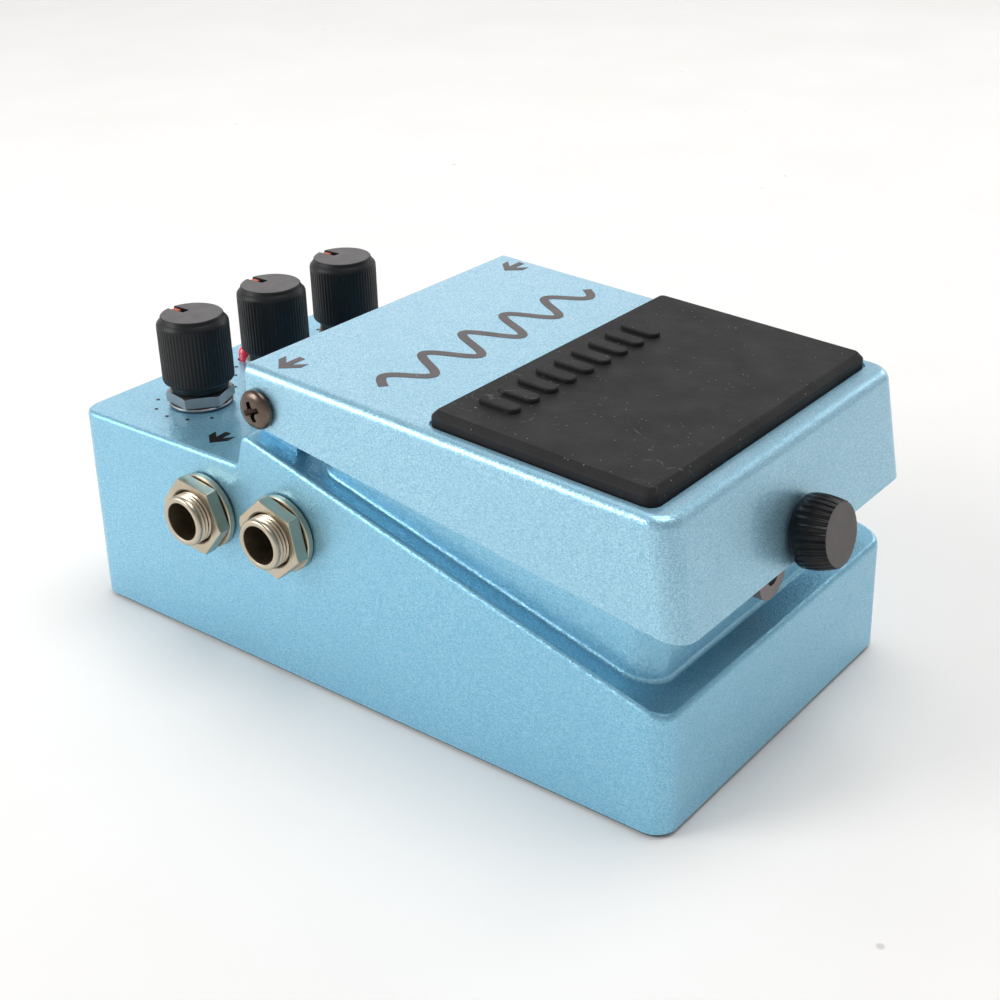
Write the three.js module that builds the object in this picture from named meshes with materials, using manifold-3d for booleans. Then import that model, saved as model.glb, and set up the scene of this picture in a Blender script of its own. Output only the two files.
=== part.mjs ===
// A compact guitar effects pedal: a die-cast base with a sloping ledge, a hollow treadle that
// swings on two rear screws, three control knobs, three jacks, and the works inside them.
// Millimetres. +X is the player's right, +Y the rear edge with the knobs, +Z up.
// The origin lies in the rubber base's underside, midway across it and 64.5 behind its front edge.

import * as THREE from "three";
import { mergeVertices } from "three/addons/utils/BufferGeometryUtils.js";
import Module from "manifold-3d";

const wasm = await Module();
wasm.setup();

// ---- driving dimensions ----

const GAP = 0.2; // between pieces stacked on each other
const CLEAR = 0.3; // round pieces that sit in others

const WIDTH = 73;
const FRONT = -64.5;
const REAR = 67.6;
const CASTING_FOOT = 1.2; // height of the casting's lower rim
const CORNER = 4;
const WALL = 2.5;
const DRAFT = 0.014; // sideways lean of every cast wall, per millimetre of height

const RIM_FRONT = 21.7; // height of the ledge at the front face
const SHOULDER = { y: 22.7, z: 45.8 }; // where the ledge ends at its rear
const STEP_FOOT_Y = 24.5;
const DECK = 39.4; // the flat rear deck under the knobs
const LEDGE_SLOPE = (SHOULDER.z - RIM_FRONT) / (SHOULDER.y - FRONT);
const SKIN = 2.3; // thickness of ledge and deck

const TUB = { x: 32, front: -59, rear: 9, corner: 5, wall: 2, topFront: 43.6, slope: 0.13 };
const BATTERY = { x: 26.5, y: 48.5, z: 17.5, corner: 2 };
const BATTERY_AT = { x: -16, y: -32, foot: 25.5 };
const WELL = { left: -29.6, right: -2.4, front: -56.6, rear: -1.5, wall: 1.8 };
const WELL_FLOOR = BATTERY_AT.foot - GAP;

const HINGE = { y: 17.2, z: 51.8 };
const LUG = { inner: 28.3, outer: 32, radius: 4.2, front: 13, rear: 21.4, foot: 41.5 };

const TREADLE = {
  halfWidth: 36.1, // at the lip
  corner: 4,
  wall: 1.8,
  lean: 0.02, // the side walls spread downward
  rearY: 20.5,
  rearTop: 59,
  rearLip: 48.7,
  frontTop: { y: -63.2, z: 54.3 },
  frontLip: { y: -66.5, z: 35.2 },
};
const TREADLE_SLOPE = (TREADLE.rearTop - TREADLE.frontTop.z) / (TREADLE.rearY - TREADLE.frontTop.y);
const LIP_SLOPE = (TREADLE.rearLip - TREADLE.frontLip.z) / (TREADLE.rearY - TREADLE.frontLip.y);
const FRONT_RAKE = (TREADLE.frontTop.y - TREADLE.frontLip.y) / (TREADLE.frontTop.z - TREADLE.frontLip.z);
const PAD = { halfWidth: 33, front: -59, rear: -17.5, corner: 1.8, sunk: 0.5, proud: 2.4 };

const SPRING = { x: 16, y: -38, foot: 31.2, radius: 5.2, wire: 0.65, turns: 7, well: 7.5, stud: 3.4 };
const SWITCH = { x: 16, y: -6, plunger: 2.5, half: 6, foot: 34 };
const HINGE_HOLE = 3;
const BUFFER = { x: 16, y: -20, radius: 3, height: 1.9 };

// Middle of the thumbscrew's outer face, and how far its axis dips going inward.
const LATCH = { y: -72.4, z: 40.3, tiltDegrees: 9.8 };
const LATCH_HEAD = { face: 5.4, radius: 6.1, rear: 5.3, length: 6.2, ribs: 30, ribDepth: 0.3 };
const LATCH_SHANK = { radius: 1.3, root: 3, clip: 8.65, tip: 10.7 }; // lengths in from the outer face
const BUSH = {
  face: -61.2,
  foot: -59.3,
  back: -57.2,
  low: 29.2,
  high: 37.8,
  radius: 4.2,
  spigot: 2.9,
  slot: 1.65,
};

const KNOB_SPACING = 20.2;
const KNOB_Y = 50.4;
const POT = {
  bushing: 3.5,
  bushingTop: 3.4, // above the deck
  shaft: 2.8,
  washer: 6,
  washerHeight: 0.5,
  nutFlats: 11,
  nutHeight: 1.3,
};

const JACKS = [
  { name: "output_jack_rear", side: -1, y: 32.8, z: 28.5 },
  { name: "output_jack_front", side: -1, y: 13.4, z: 29.9 },
  { name: "input_jack", side: 1, y: 13.4, z: 29.9 },
];
const JACK = {
  thread: 4.65,
  bore: 3.5,
  flange: 6.2,
  nutFlats: 12.7,
  nutHeight: 2.9,
  washer: 7,
  washerHeight: 0.9,
  tip: 42.6, // out from the middle of the pedal
};

const POWER = { x: 0, z: 17.5, radius: 4, bore: 2.9 };
const LED = { y: 59.4, radius: 1.5, top: 42.2 };
const BOTTOM_SCREWS = { x: 29.5, y: 57.5 };

// ---- materials ----

const finish = (color, roughness, metalness = 0) =>
  new THREE.MeshStandardMaterial({ color, roughness, metalness });

const PAINT = finish(0x8fc1d8, 0.4, 0.35);
const STEEL = finish(0xb7b9ba, 0.35, 0.9);
const NICKEL = finish(0xc9c0b4, 0.25, 1);
const BRONZE = finish(0x6a5d54, 0.35, 0.9);
const SOFT_BLACK = finish(0x191a1c, 0.85);
const KNOB_BLACK = finish(0x1d1e21, 0.6);
const GLOSS_BLACK = finish(0x131316, 0.25);
const BUSH_GREY = finish(0x6f6663, 0.6);
const ORANGE = finish(0xd9501e, 0.5);
const RED = finish(0xc81424, 0.15);
const BOARD = finish(0x1f5c3a, 0.55);
const BATTERY_SKIN = finish(0x2d2f36, 0.4, 0.2);
const MOULDING = finish(0x232427, 0.5);

// ---- solids ----

// A closed geometry as a solid that can be joined and cut.
function solid(geometry) {
  const bare = geometry.index ? geometry.toNonIndexed() : geometry.clone();
  bare.deleteAttribute("normal");
  bare.deleteAttribute("uv");
  const merged = mergeVertices(bare, 1e-4);
  const mesh = new wasm.Mesh({
    numProp: 3,
    vertProperties: merged.attributes.position.array,
    triVerts: new Uint32Array(merged.index.array),
  });
  return new wasm.Manifold(mesh);
}

function geometryOf(body) {
  const mesh = body.getMesh();
  const indexed = new THREE.BufferGeometry();
  indexed.setAttribute("position", new THREE.BufferAttribute(mesh.vertProperties, 3));
  indexed.setIndex(new THREE.BufferAttribute(mesh.triVerts, 1));
  const faceted = indexed.toNonIndexed();
  faceted.computeVertexNormals();
  return faceted;
}

const join = (first, ...others) => others.reduce((whole, piece) => whole.add(piece), first);
const cut = (first, ...tools) => tools.reduce((whole, tool) => whole.subtract(tool), first);

function box([x0, x1], [y0, y1], [z0, z1]) {
  const geometry = new THREE.BoxGeometry(x1 - x0, y1 - y0, z1 - z0);
  geometry.translate((x0 + x1) / 2, (y0 + y1) / 2, (z0 + z1) / 2);
  return solid(geometry);
}

function roundedRectangle([x0, x1], [y0, y1], radius) {
  const shape = new THREE.Shape();
  shape.absarc(x1 - radius, y1 - radius, radius, 0, Math.PI / 2);
  shape.absarc(x0 + radius, y1 - radius, radius, Math.PI / 2, Math.PI);
  shape.absarc(x0 + radius, y0 + radius, radius, Math.PI, 1.5 * Math.PI);
  shape.absarc(x1 - radius, y0 + radius, radius, 1.5 * Math.PI, 2 * Math.PI);
  shape.closePath();
  return shape;
}

function extrude(shape, depth, curveSegments) {
  return new THREE.ExtrudeGeometry(shape, { depth, curveSegments, bevelEnabled: false });
}

// A flat outline raised from z0 to z1. Per millimetre of height each wall leans inward by lean,
// and the whole outline moves back by rake.
function raise(shape, [z0, z1], { lean = 0, rake = 0, curveSegments = 3 } = {}) {
  const geometry = extrude(shape, z1 - z0, curveSegments);
  geometry.translate(0, 0, z0);
  const place = geometry.attributes.position;
  for (let i = 0; i < place.count; i++) {
    const [x, y, z] = [place.getX(i), place.getY(i), place.getZ(i)];
    place.setX(i, x - Math.sign(x) * lean * z);
    place.setY(i, y - Math.sign(y) * lean * z + rake * z);
  }
  return solid(geometry);
}

const polygon = (points) => new THREE.Shape(points.map(([a, b]) => new THREE.Vector2(a, b)));

// An outline drawn in Y and Z, carried along X from x0 to x1.
function across(shape, [x0, x1]) {
  const geometry = extrude(shape, x1 - x0, 6);
  const turn = new THREE.Matrix4().makeBasis(
    new THREE.Vector3(0, 1, 0),
    new THREE.Vector3(0, 0, 1),
    new THREE.Vector3(1, 0, 0),
  );
  geometry.applyMatrix4(turn);
  geometry.translate(x0, 0, 0);
  return solid(geometry);
}

// A turned piece about Z; the outline runs upward from axis to axis, as [radius, z] points.
function turned(outline, segments = 20) {
  const points = outline.map(([radius, z]) => new THREE.Vector2(radius, z));
  const geometry = new THREE.LatheGeometry(points, segments);
  geometry.rotateX(Math.PI / 2);
  return solid(geometry);
}

function rod(radius, [z0, z1], segments = 20) {
  return turned([[0, z0], [radius, z0], [radius, z1], [0, z1]], segments);
}

// A ring with a square section about Z.
const ring = (outer, inner, span, segments = 20) =>
  cut(rod(outer, span, segments), rod(inner, [span[0] - 1, span[1] + 1], segments));

function hexagon(flats, span) {
  return rod(flats / Math.sqrt(3), span, 6);
}

const alongX = (body) => body.rotate([0, 90, 0]);
const alongY = (body) => body.rotate([-90, 0, 0]);

const ledgeAt = (y) => RIM_FRONT + LEDGE_SLOPE * (y - FRONT);
const tubTopAt = (y) => TUB.topFront + TUB.slope * (y - TUB.front);
const treadleTopAt = (y) => TREADLE.rearTop + TREADLE_SLOPE * (y - TREADLE.rearY);
const treadleLipAt = (y) => TREADLE.rearLip + LIP_SLOPE * (y - TREADLE.rearY);
const treadleRoofAt = (y) => treadleTopAt(y) - TREADLE.wall;

// ---- scene graph ----

const pedal = new THREE.Group();

function place(name, body, material, parent = pedal) {
  const mesh = new THREE.Mesh(geometryOf(body), material);
  mesh.name = name;
  parent.add(mesh);
  return mesh;
}

function groupAt(x, y, z, parent = pedal) {
  const group = new THREE.Group();
  group.position.set(x, y, z);
  parent.add(group);
  return group;
}

// ---- base ----

// The casting's side view, lowered by skin for the hollow inside it.
function sideOutline(skin) {
  const far = REAR + 5;
  const back = skin * 0.9;
  return polygon([
    [-far, 0],
    [far, 0],
    [far, DECK - skin],
    [STEP_FOOT_Y - back, DECK - skin],
    [SHOULDER.y - back, ledgeAt(SHOULDER.y - back) - skin],
    [-far, ledgeAt(-far) - skin],
  ]);
}

function baseBody(inset, skin, foot) {
  const x = WIDTH / 2 - inset;
  const plan = roundedRectangle([-x, x], [FRONT + inset, REAR - inset], Math.max(CORNER - inset, 1));
  const walls = raise(plan, [foot, 60], { lean: DRAFT, curveSegments: 4 });
  return walls.intersect(across(sideOutline(skin), [-50, 50]));
}

// The raised box inside the treadle, from below the ledge to its sloping roof.
function tubBody(inset) {
  const x = TUB.x - inset;
  const plan = roundedRectangle([-x, x], [TUB.front + inset, TUB.rear - inset], TUB.corner - inset);
  const roof = polygon([
    [-80, 12],
    [40, 12],
    [40, tubTopAt(40) - inset],
    [-80, tubTopAt(-80) - inset],
  ]);
  return raise(plan, [12, 60]).intersect(across(roof, [-50, 50]));
}

function batteryWell() {
  const spanX = [-TUB.x + 1, WELL.right + WELL.wall];
  const spanY = [TUB.front + 1, WELL.rear + WELL.wall];
  return box(spanX, spanY, [WELL_FLOOR - WELL.wall, 60]).intersect(tubBody(0.5));
}

function springWell() {
  const body = rod(SPRING.well + 1.7, [SPRING.foot - 2, 60]).translate([SPRING.x, SPRING.y, 0]);
  return body.intersect(tubBody(0.5));
}

function hingeLug(side) {
  const shape = new THREE.Shape();
  shape.moveTo(LUG.front, LUG.foot);
  shape.lineTo(LUG.rear, LUG.foot);
  shape.lineTo(LUG.rear, HINGE.z);
  shape.absarc(HINGE.y, HINGE.z, LUG.radius, 0, Math.PI);
  shape.closePath();
  const span = side > 0 ? [LUG.inner, LUG.outer] : [-LUG.outer, -LUG.inner];
  return across(shape, span);
}

function screwBoss(x, y) {
  const ceiling = Math.min(ledgeAt(y), DECK) - 1.5;
  return rod(3.4, [CASTING_FOOT + 1.6, ceiling], 12).translate([x, y, 0]);
}

const cornersOf = ({ x, y }) => [[-x, -y], [x, -y], [x, y], [-x, y]];

function jackHole(jack) {
  return alongX(rod(JACK.thread + 0.35, [-6, 6])).translate([(jack.side * WIDTH) / 2, jack.y, jack.z]);
}

// A slot with round ends that stands upright and runs along Y.
function uprightSlot(radius, [y0, y1]) {
  const shape = new THREE.Shape();
  shape.absarc(0, BUSH.high, radius, 0, Math.PI);
  shape.absarc(0, BUSH.low, radius, Math.PI, 2 * Math.PI);
  shape.closePath();
  const geometry = extrude(shape, y1 - y0, 8);
  geometry.rotateX(Math.PI / 2);
  geometry.translate(0, y1, 0);
  return solid(geometry);
}

function baseCasting() {
  const outside = join(baseBody(0, 0, CASTING_FOOT), tubBody(0));
  const furnished = join(
    cut(outside, baseBody(WALL, SKIN, -5), tubBody(TUB.wall)),
    batteryWell(),
    springWell(),
    hingeLug(1),
    hingeLug(-1),
    ...cornersOf(BOTTOM_SCREWS).map(([x, y]) => screwBoss(x, y)),
  );
  return cut(
    furnished,
    box([WELL.left, WELL.right], [WELL.front, WELL.rear], [WELL_FLOOR, 70]),
    rod(SPRING.well, [SPRING.foot - GAP, 70]).translate([SPRING.x, SPRING.y, 0]),
    rod(SWITCH.plunger + 0.5, [40, 70]).translate([SWITCH.x, SWITCH.y, 0]),
    uprightSlot(BUSH.spigot + CLEAR, [TUB.front - 1, TUB.front + TUB.wall + 0.2]),
    alongX(rod(HINGE_HOLE, [-40, 40], 16)).translate([0, HINGE.y, HINGE.z]),
    ...JACKS.map(jackHole),
    alongY(rod(POWER.radius + CLEAR, [50, 70])).translate([POWER.x, 0, POWER.z]),
    rod(LED.radius + CLEAR, [30, 50], 12).translate([0, LED.y, 0]),
    ...[-1, 0, 1].map((k) => rod(POT.bushing + CLEAR, [30, 50]).translate([k * KNOB_SPACING, KNOB_Y, 0])),
    ...cornersOf(BOTTOM_SCREWS).map(([x, y]) => rod(1.8, [-1, 12], 10).translate([x, y, 0])),
  );
}

place("base_casting", baseCasting(), PAINT);

function sheetUnder(inset, corner, span) {
  const x = WIDTH / 2 - inset;
  return raise(roundedRectangle([-x, x], [FRONT + inset, REAR - inset], corner), span);
}

function screwHoles(radius) {
  return cornersOf(BOTTOM_SCREWS).map(([x, y]) => rod(radius, [-1, 5], 14).translate([x, y, 0]));
}

const plateSheet = sheetUnder(WALL + CLEAR, 1.5, [CASTING_FOOT, 2.4]);
place("bottom_plate", cut(plateSheet, ...screwHoles(1.9)), STEEL);
const rubberSheet = sheetUnder(0.6, CORNER - 0.6, [0, 1]);
place("rubber_base", cut(rubberSheet, ...screwHoles(3.7)), SOFT_BLACK);

cornersOf(BOTTOM_SCREWS).forEach(([x, y], index) => {
  const screw = join(rod(3.2, [0.35, 1], 16), rod(1.5, [0.9, 10], 10));
  place("bottom_screw_" + (index + 1), screw, STEEL, groupAt(x, y, 0));
});

// ---- battery, spring, switch, latch bush ----

function batteryBody() {
  const shape = roundedRectangle([-BATTERY.x / 2, BATTERY.x / 2], [0, BATTERY.z], BATTERY.corner);
  const geometry = extrude(shape, BATTERY.y - 2.5, 3);
  geometry.rotateX(Math.PI / 2);
  geometry.translate(0, BATTERY.y / 2 - 2.5, 0);
  const terminals = [-1, 1].map((side) =>
    alongY(rod(2.8, [BATTERY.y / 2 - 2.6, BATTERY.y / 2], 12)).translate([side * 6.4, 0, BATTERY.z / 2]),
  );
  return join(solid(geometry), ...terminals);
}

const batteryBay = groupAt(BATTERY_AT.x, BATTERY_AT.y, BATTERY_AT.foot);
place("battery", batteryBody(), BATTERY_SKIN, batteryBay);
const snapFront = BATTERY.y / 2 + GAP;
place("battery_snap", box([-12, 12], [snapFront, snapFront + 3], [3, BATTERY.z - 3]), MOULDING, batteryBay);

// An open helix from foot to top with a round section, closed at both ends.
class Helix extends THREE.Curve {
  constructor(radius, height, turns) {
    super();
    Object.assign(this, { radius, height, turns });
  }

  getPoint(t, target = new THREE.Vector3()) {
    const angle = 2 * Math.PI * this.turns * t;
    return target.set(this.radius * Math.cos(angle), this.radius * Math.sin(angle), this.height * t);
  }
}

function springBody() {
  const height = treadleRoofAt(SPRING.y) - CLEAR - SPRING.foot - 2 * SPRING.wire;
  const path = new Helix(SPRING.radius, height, SPRING.turns);
  const section = new THREE.Shape().absarc(0, 0, SPRING.wire, 0, 2 * Math.PI);
  const options = { steps: SPRING.turns * 12, extrudePath: path, curveSegments: 3, bevelEnabled: false };
  return solid(new THREE.ExtrudeGeometry(section, options)).translate([0, 0, SPRING.wire]);
}

place("return_spring", springBody(), STEEL, groupAt(SPRING.x, SPRING.y, SPRING.foot));

const plungerTop = treadleRoofAt(SWITCH.y) - 2.5;
const switchFrame = groupAt(SWITCH.x, SWITCH.y, 0);
const switchRoof = tubTopAt(SWITCH.y) - TUB.wall - 1.2;
const switchSpan = [-SWITCH.half, SWITCH.half];
const switchBlock = box(switchSpan, switchSpan, [SWITCH.foot, switchRoof]);
const switchCase = cut(switchBlock, rod(SWITCH.plunger + 0.4, [SWITCH.foot + 4, 60], 16));
place("foot_switch_body", switchCase, MOULDING, switchFrame);
const plunger = rod(SWITCH.plunger, [SWITCH.foot + 7, plungerTop], 16);
place("foot_switch_plunger", plunger, KNOB_BLACK, switchFrame);

const bufferFoot = tubTopAt(BUFFER.y + BUFFER.radius) + GAP;
const buffer = rod(BUFFER.radius, [bufferFoot, bufferFoot + BUFFER.height], 16);
place("stop_buffer", buffer, SOFT_BLACK, groupAt(BUFFER.x, BUFFER.y, 0));

const bushPlate = uprightSlot(BUSH.radius, [BUSH.face, BUSH.foot]);
const bushSpigot = uprightSlot(BUSH.spigot, [BUSH.foot - 1, BUSH.back]);
const bushSlot = uprightSlot(BUSH.slot, [BUSH.face - 1, BUSH.back + 1]);
place("guide_bush", cut(join(bushPlate, bushSpigot), bushSlot), BUSH_GREY);

// ---- jacks, power socket, light ----

// Everything is made about Z with the mouth up, then laid along X, pointing out of the wall.
function addJack({ name, side, y, z }) {
  const frame = groupAt(0, y, z);
  frame.rotation.y = (side * Math.PI) / 2;
  const wall = WIDTH / 2 - DRAFT * z;
  const inside = wall - WALL - 0.6;
  const washerFoot = wall + GAP;
  const nutFoot = washerFoot + JACK.washerHeight + GAP;
  const bushing = join(
    ring(JACK.thread, JACK.bore, [inside - 2, JACK.tip]),
    ring(JACK.flange, JACK.bore, [inside - 2, inside]),
  );
  const block = raise(roundedRectangle([-6.5, 6.5], [-6, 6], 1), [inside - 20, inside - 2 - GAP]);
  const washer = ring(JACK.washer, JACK.thread + CLEAR, [washerFoot, washerFoot + JACK.washerHeight], 24);
  const nutBlank = hexagon(JACK.nutFlats, [nutFoot, nutFoot + JACK.nutHeight]);
  place(name + "_body", cut(block, rod(JACK.bore, [0, 60])), MOULDING, frame);
  place(name + "_bushing", bushing, NICKEL, frame);
  place(name + "_washer", washer, NICKEL, frame);
  place(name + "_nut", cut(nutBlank, rod(JACK.thread + CLEAR, [0, 60])), NICKEL, frame);
}

JACKS.forEach(addJack);

const socketFace = REAR - DRAFT * POWER.z - 0.4;
const powerFrame = groupAt(POWER.x, 0, POWER.z);
const socketBody = join(
  alongY(rod(POWER.radius, [socketFace - 4, socketFace])),
  box([-5, 5], [socketFace - 14, socketFace - 3.5], [-5.5, 5.5]),
);
const socketBore = alongY(rod(POWER.bore, [socketFace - 11, 80]));
const socketPin = alongY(rod(1.05, [socketFace - 10.7, socketFace - 1.5], 12));
place("power_socket_body", cut(socketBody, socketBore), MOULDING, powerFrame);
place("power_socket_pin", socketPin, NICKEL, powerFrame);

const lampOutline = [
  [0, 34],
  [1.9, 34],
  [1.9, 36.4],
  [LED.radius, 36.4],
  [LED.radius, LED.top - 1.1],
  [1, LED.top - 0.3],
  [0, LED.top],
];
place("indicator_led", turned(lampOutline, 16), RED, groupAt(0, LED.y, 0));

// ---- controls ----

const board = { thick: 1.6, z: 24 };
const potFoot = board.z + board.thick + GAP;
const potRoof = DECK - SKIN - 0.5;

function knobBody() {
  const outline = [
    [0, 12.9],
    [3.2, 12.9],
    [3.2, 4.2],
    [4.2, 4.2],
    [4.2, 2.4],
    [5.4, 2.4],
    [5.4, 4.5],
    [6.7, 5],
    [6.7, 16.2],
    [6.1, 16.9],
    [5.8, 17.1],
    [5.6, 17.7],
    [0, 17.7],
  ];
  const notch = box([-0.8, 0.8], [1.6, 8], [16.8, 19]);
  return cut(turned(outline, 24), notch);
}

function addControl(index) {
  const frame = groupAt((index - 2) * KNOB_SPACING, KNOB_Y, DECK);
  const roof = potRoof - DECK;
  const block = box([-5.5, 5.5], [-5.5, 5.5], [potFoot - DECK, roof]);
  const pot = join(block, rod(POT.bushing, [roof - 0.5, POT.bushingTop]));
  const washerTop = GAP + POT.washerHeight;
  const nutFoot = washerTop + GAP;
  const nutBlank = hexagon(POT.nutFlats, [nutFoot, nutFoot + POT.nutHeight]);
  place("control_pot_" + index, cut(pot, rod(POT.shaft + GAP, [-9, 5])), STEEL, frame);
  place("control_washer_" + index, ring(POT.washer, POT.bushing + CLEAR, [GAP, washerTop]), NICKEL, frame);
  place("control_nut_" + index, cut(nutBlank, rod(POT.bushing + CLEAR, [-5, 5])), NICKEL, frame);
  place("control_shaft_" + index, rod(POT.shaft, [-8.8, 12.6], 16), STEEL, frame);
  place("control_knob_" + index, knobBody(), KNOB_BLACK, frame);
  place("control_pointer_" + index, box([-0.6, 0.6], [3.4, 5.4], [17, 17.6]), ORANGE, frame);
}

[1, 2, 3].forEach(addControl);

place("control_board", box([-25.8, 25.8], [42, 61.3], [board.z, board.z + board.thick]), BOARD);
place("main_board", box([-32, 32], [-50, 47], [7, 7 + board.thick]), BOARD);

// ---- treadle ----

// The treadle's outer body, or the hollow in it, which runs out below and behind.
function treadleBody(inset) {
  const { rearY, frontLip, halfWidth, lean, corner } = TREADLE;
  const past = inset ? 5 : 0;
  const behind = rearY + past;
  const ahead = frontLip.y - 10;
  const outline = polygon([
    [behind, treadleLipAt(behind) - past],
    [behind, treadleTopAt(behind) - inset],
    [ahead, treadleTopAt(ahead) - inset],
    [ahead, treadleLipAt(ahead) - past],
  ]);
  const half = halfWidth + lean * frontLip.z - inset;
  const front = frontLip.y + inset - FRONT_RAKE * frontLip.z;
  const plan = roundedRectangle([-half, half], [front, 40], corner - inset / 2);
  const walls = raise(plan, [20, 70], { lean, rake: FRONT_RAKE - lean });
  return across(outline, [-half, half]).intersect(walls);
}

function actuatorPost() {
  return rod(3, [plungerTop + CLEAR, treadleTopAt(SWITCH.y) - 1], 16).translate([SWITCH.x, SWITCH.y, 0]);
}

function springStud() {
  const roof = treadleRoofAt(SPRING.y);
  return rod(SPRING.stud, [roof - 3.4, roof + 1], 16).translate([SPRING.x, SPRING.y, 0]);
}

// A plate in the plane of the treadle's top, between two heights counted from that plane.
function onTreadle(margin, corner, [low, high]) {
  const shape = roundedRectangle(
    [-PAD.halfWidth - margin, PAD.halfWidth + margin],
    [PAD.front - margin, PAD.rear + margin],
    corner,
  );
  const slope = new THREE.Matrix4().makeShear(0, 0, 0, TREADLE_SLOPE, 0, 0);
  slope.setPosition(0, 0, treadleTopAt(0));
  const geometry = extrude(shape, high - low, 2);
  geometry.translate(0, 0, low);
  geometry.applyMatrix4(slope);
  return solid(geometry);
}

// A piece turned about Z, laid on the thumbscrew's axis with z counted inward from its outer face.
function onLatch(body) {
  return body.rotate([-90 - LATCH.tiltDegrees, 0, 0]).translate([0, LATCH.y, LATCH.z]);
}

function treadleShell() {
  return cut(
    join(cut(treadleBody(0), treadleBody(TREADLE.wall)), actuatorPost(), springStud()),
    onTreadle(0.4, PAD.corner + 0.3, [-PAD.sunk, 5]),
    alongX(rod(1.95, [-45, 45], 16)).translate([0, HINGE.y, HINGE.z]),
    onLatch(rod(1.8, [0, 20], 16)),
  );
}

place("treadle_shell", treadleShell(), PAINT);
place("rubber_pad", onTreadle(0, PAD.corner, [GAP - PAD.sunk, PAD.proud]), SOFT_BLACK);

// The bush sits in the lug, and the screw runs through it from outside the treadle's wall.
function addHinge(side, label) {
  const frame = groupAt(0, HINGE.y, HINGE.z);
  frame.rotation.y = (side * Math.PI) / 2;
  const bore = 1.65;
  const bushEnd = LUG.inner - 0.8;
  const bushing = join(
    ring(HINGE_HOLE - CLEAR, bore, [bushEnd, LUG.outer + GAP]),
    ring(HINGE_HOLE + 0.8, bore, [bushEnd, LUG.inner - GAP]),
  );
  const head = TREADLE.halfWidth - 0.1;
  const tip = bushEnd - 0.8;
  const screwOutline = [
    [0, tip],
    [bore - CLEAR, tip],
    [bore - CLEAR, head],
    [3.5, head],
    [3.5, head + 0.6],
    [2.5, head + 1.4],
    [0, head + 1.8],
  ];
  place("hinge_bush_" + label, bushing, BUSH_GREY, frame);
  place("hinge_screw_" + label, turned(screwOutline, 16), BRONZE, frame);
}

addHinge(-1, "left");
addHinge(1, "right");

// ---- thumbscrew ----

// The head swells from its face towards a rounded shoulder at the rear.
function ribbedHead() {
  const { face, radius, rear, length } = LATCH_HEAD;
  const envelope = turned(
    [
      [0, 0],
      [face, 0],
      [radius, 0.6 * length],
      [radius, 0.8 * length],
      [rear, length],
      [0, length],
    ],
    40,
  );
  const steps = LATCH_HEAD.ribs * 2;
  const points = Array.from({ length: steps }, (_, index) => {
    const angle = (2 * Math.PI * index) / steps;
    const reach = radius - (index % 2 ? 0 : LATCH_HEAD.ribDepth);
    return [reach * Math.cos(angle), reach * Math.sin(angle)];
  });
  return raise(polygon(points), [0, length]).intersect(envelope);
}

const shank = LATCH_SHANK;
const pocket = rod(shank.radius + CLEAR, [shank.root - CLEAR, 10], 16);
const clipSpan = [shank.clip, shank.clip + 0.5];
place("thumbscrew_head", onLatch(cut(ribbedHead(), pocket)), GLOSS_BLACK);
place("thumbscrew_shank", onLatch(rod(shank.radius, [shank.root, shank.tip], 16)), STEEL);
place("thumbscrew_clip", onLatch(ring(2.6, shank.radius + 0.15, clipSpan, 16)), STEEL);

export default pedal;
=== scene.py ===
import math

import bmesh
import bpy
from mathutils import Matrix, Vector


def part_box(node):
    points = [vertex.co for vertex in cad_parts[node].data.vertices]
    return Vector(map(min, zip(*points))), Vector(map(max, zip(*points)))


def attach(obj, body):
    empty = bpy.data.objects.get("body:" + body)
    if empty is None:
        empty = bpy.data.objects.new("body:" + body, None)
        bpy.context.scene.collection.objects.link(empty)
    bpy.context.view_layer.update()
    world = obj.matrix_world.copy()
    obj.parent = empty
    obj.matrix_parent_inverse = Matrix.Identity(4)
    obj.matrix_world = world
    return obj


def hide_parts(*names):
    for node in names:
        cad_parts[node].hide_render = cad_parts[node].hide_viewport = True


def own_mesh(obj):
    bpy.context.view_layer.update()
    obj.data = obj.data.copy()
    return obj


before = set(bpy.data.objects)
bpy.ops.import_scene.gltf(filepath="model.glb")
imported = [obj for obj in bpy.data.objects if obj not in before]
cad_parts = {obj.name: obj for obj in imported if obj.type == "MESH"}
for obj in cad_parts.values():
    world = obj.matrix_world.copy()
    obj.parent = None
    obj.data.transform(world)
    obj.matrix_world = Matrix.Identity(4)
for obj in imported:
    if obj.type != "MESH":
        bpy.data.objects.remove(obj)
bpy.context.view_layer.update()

# Shapes are worked out in millimetres, in the row frame, and scaled to metres when a piece is made.
MM = 0.001

# ---- driving sizes of the two shells, as in the CAD ----

WIDTH, FRONT, REAR = 73.0, -64.5, 67.6
CASTING_FOOT = 1.2
CORNER = 4.0
WALL, SKIN = 2.5, 2.3
DRAFT = 0.014
RIM_FRONT = 21.7
SHOULDER_Y, SHOULDER_Z = 22.7, 45.8
STEP_FOOT_Y, DECK = 24.5, 39.4
LEDGE_SLOPE = (SHOULDER_Z - RIM_FRONT) / (SHOULDER_Y - FRONT)

TUB_X, TUB_FRONT, TUB_REAR = 32.0, -59.0, 9.0
TUB_CORNER, TUB_WALL = 5.0, 2.0
TUB_TOP_FRONT, TUB_SLOPE = 43.6, 0.13

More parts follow.
